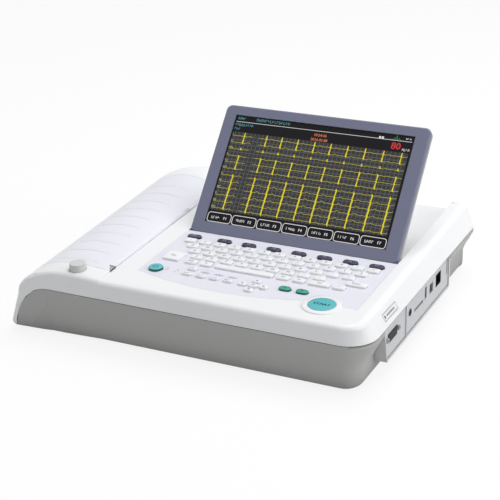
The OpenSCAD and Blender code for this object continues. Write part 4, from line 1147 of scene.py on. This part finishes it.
def addKey(node, title):
    bm = nodeShape(node, 0.000004)
    bmesh.ops.dissolve_limit(bm, angle_limit=math.radians(0.5), verts=bm.verts, edges=bm.edges)
    bmesh.ops.transform(bm, matrix=deckPlace.inverted() @ Matrix.Scale(1 / mm, 4), verts=bm.verts)
    tops = []
    for group in keyIslands(bm):
        high = max(v.co.z for v in group)
        tops.append((*middleOf([v.co for v in group if v.co.z > high - 0.01]), high))
    highest = max(t[2] for t in tops)
    rims = [e for e in bm.edges if all(v.co.z > highest - 0.01 for v in e.verts) and e.is_manifold
            and e.calc_face_angle() > 1.0]
    width = keySettings["edge"].get(node, keySettings["plainEdge"])
    bmesh.ops.bevel(bm, geom=rims, offset=width, segments=4, profile=0.5, affect="EDGES")
    obj = newPiece(title, bm, keyMaterials.get(node, "keyWhite"), deckPlace, "cap")
    # faces steeper than sideSlope get the darker colour of painted shade
    if node in keySettings["dark"]:
        obj.data.materials.append(mats[keySettings["dark"][node]])
        up = deckPlace.to_3x3() @ Vector((0, 0, 1))
        for face in obj.data.polygons:
            face.material_index = int(face.normal.dot(up) < keySettings["sideSlope"])
    body = node + "_body"
    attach(obj, body)
    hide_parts(node)
    tops.sort(key=lambda t: (-round(t[1]), t[0]))
    words = legends.get(node)
    if words:
        bm = bmesh.new()
        size = legendSizes.get(node, keySettings["legend"])
        bold = keySettings["bold"].get(node, keySettings["plainBold"])
        for (x, y, n), text in zip(tops, words):
            addText(bm, text, x, y, n + printLift, size, 1.0, bold)
        legendPiece(title + "Legends", bm, legendInks.get(node, "inkDark"), body)
    return tops


def addPowerMark(top):
    bm = bmesh.new()
    x, y, n = top
    strokeLine(bm, [p[:2] for p in arcPoints(x, y, 2.7, 122, 418, 20)], 0.75, n + printLift)
    strokeQuad(bm, (x, y + 0.8), (x, y + 3.6), 0.75, n + printLift)
    legendPiece("powerMark", bm, "inkTeal", "power_button_body")


def addArrowMarks(tops):
    bm = bmesh.new()
    middleX = sum(t[0] for t in tops) / len(tops)
    middleY = sum(t[1] for t in tops) / len(tops)
    for x, y, n in tops:
        dx, dy = x - middleX, y - middleY
        if math.hypot(dx, dy) < 2:
            addText(bm, "OK", x, y, n + printLift, 3.6, 1.0, 0.07)
            continue
        d = Vector((dx, dy)).normalized() * 1.5
        side, foot = Vector((-d.y, d.x)), Vector((x, y)) - d * 0.7
        corners = (Vector((x, y)) + d, foot + side, foot - side)
        bm.faces.new([bm.verts.new((c.x, c.y, n + printLift)) for c in corners])
    legendPiece("cursorMarks", bm, "inkDark", "cursor_keys_body")


def addMenuMarks(tops):
    bm = bmesh.new()
    for k, (x, y, n) in enumerate(tops):
        addBars(bm, x - 3.2, y, n + printLift, 4, 2.0, 1.8, 0.4, 50 + k)
    legendPiece("menuMarks", bm, "inkDark", "menu_keys_body")


keyNodes = (
    "power_button", "start_button", "escape_key", "function_keys", "copy_keys", "cursor_keys", "menu_keys",
    "number_keys", "upper_letter_keys", "middle_letter_keys", "lower_letter_keys", "modifier_keys",
    "space_bar", "enter_key",
)


def addKeys():
    tops = {}
    for node in keyNodes:
        first, *others = node.split("_")
        tops[node] = addKey(node, first + "".join(word.capitalize() for word in others))
    addPowerMark(tops["power_button"][0])
    addArrowMarks(tops["cursor_keys"])
    addMenuMarks(tops["menu_keys"])


panelPrints = {
    "ovals": ((3.0, 61.5), (19.0, 61.5), (35.0, 61.5)), "ovalSize": (6.4, 2.7),
    "lamps": ((-39.6, 57.5), (-27.2, 57.0)), "lampSize": (1.3, 1.3),
}


def addDisc(bm, x, v, size, n):
    bm.faces.new([bm.verts.new((x + size[0] * a, v + size[1] * b, n)) for a, b in circle(0, 0, 1, 24)])


def addPanelPrints():
    s, n = panelPrints, printLift
    bm = bmesh.new()
    for x, v in s["ovals"]:
        addDisc(bm, x, v, s["ovalSize"], n)
    legendPiece("panelOvals", bm, "printLilac", "case")
    bm = bmesh.new()
    for k, (x, v) in enumerate(s["ovals"]):
        addBars(bm, x - 3.0, v, n * 2, 4, 2.0, 1.7, 0.4, 70 + k)
    strokeLine(bm, [(-8.0, 66.2), (-5.5, 67.4), (9.0, 67.4)], 0.35, n)
    for x, v in s["lamps"]:
        addBars(bm, x - 2.2, v - 4.2, n, 3, 1.8, 1.7, 0.35, int(90 + x))
    legendPiece("panelPrints", bm, "printSlate", "case")
    bm = bmesh.new()
    for x, v in s["lamps"]:
        addDisc(bm, x, v, s["lampSize"], n)
    legendPiece("panelLamps", bm, "lampGreen", "case")


addKeys()
addPanelPrints()

print("stage: carried-over parts")
slotMaterials = {
    "white_shell": "whiteShell", "grey_base": "greyBase", "panel_grey": "panelGrey",
    "display_grey": "displayGrey", "film": "keypadFilm", "white_keys": "keyWhite", "navy_keys": "keyNavy",
    "teal_keys": "keyTeal", "green_keys": "keyGreen", "black": "blackPlastic", "dark_grey": "darkGrey",
    "rubber": "softRubber", "steel": "steelBright", "tin": "tinShell", "brass": "brassTurned",
    "glass": "screenBlack", "lcd": "screenBlack", "board": "boardGreen", "paper": "rollPaper",
    "gear_white": "gearIvory", "battery": "batteryBlue",
}
nodeMaterials = {"release_button": "buttonGrey"}
for part in frame["record"]["subparts"]:
    obj = frame["nodes"][part["node"]]
    obj.data.materials.clear()
    obj.data.materials.append(mats[nodeMaterials.get(part["node"], slotMaterials[part["material_slot"]])])

print("stage: floor")
floorSettings = {"half": 3.0, "depth": -0.0006, "glow": 0.86, "seenColour": 0.95, "bounceColour": 0.6}


def addFloor(s):
    mesh = bpy.data.meshes.new("floor")
    h = s["half"]
    corners = [(x, y, s["depth"]) for x, y in ((-h, -h), (h, -h), (h, h), (-h, h))]
    mesh.from_pydata(corners, [], [(0, 1, 2, 3)])
    floor = linkObject("floor", mesh)
    mat, tree, shader = newMaterial("floorPaper")
    tree.nodes.remove(shader)
    plain = tree.nodes.new("ShaderNodeBsdfDiffuse")
    glow = tree.nodes.new("ShaderNodeEmission")
    glow.inputs["Strength"].default_value = 1.0
    seen = seenRay(tree)
    grey = tree.nodes.new("ShaderNodeCombineColor")
    level = mathNode(tree, "MULTIPLY_ADD", seen, s["seenColour"] - s["bounceColour"], s["bounceColour"])
    for sock in grey.inputs:
        tree.links.new(level, sock)
    tree.links.new(grey.outputs[0], plain.inputs["Color"])
    mixShaders(tree, mathNode(tree, "MULTIPLY", seen, s["glow"]), plain, glow, "Material Output")
    mesh.materials.append(mat)


addFloor(floorSettings)

bpy.context.view_layer.update()
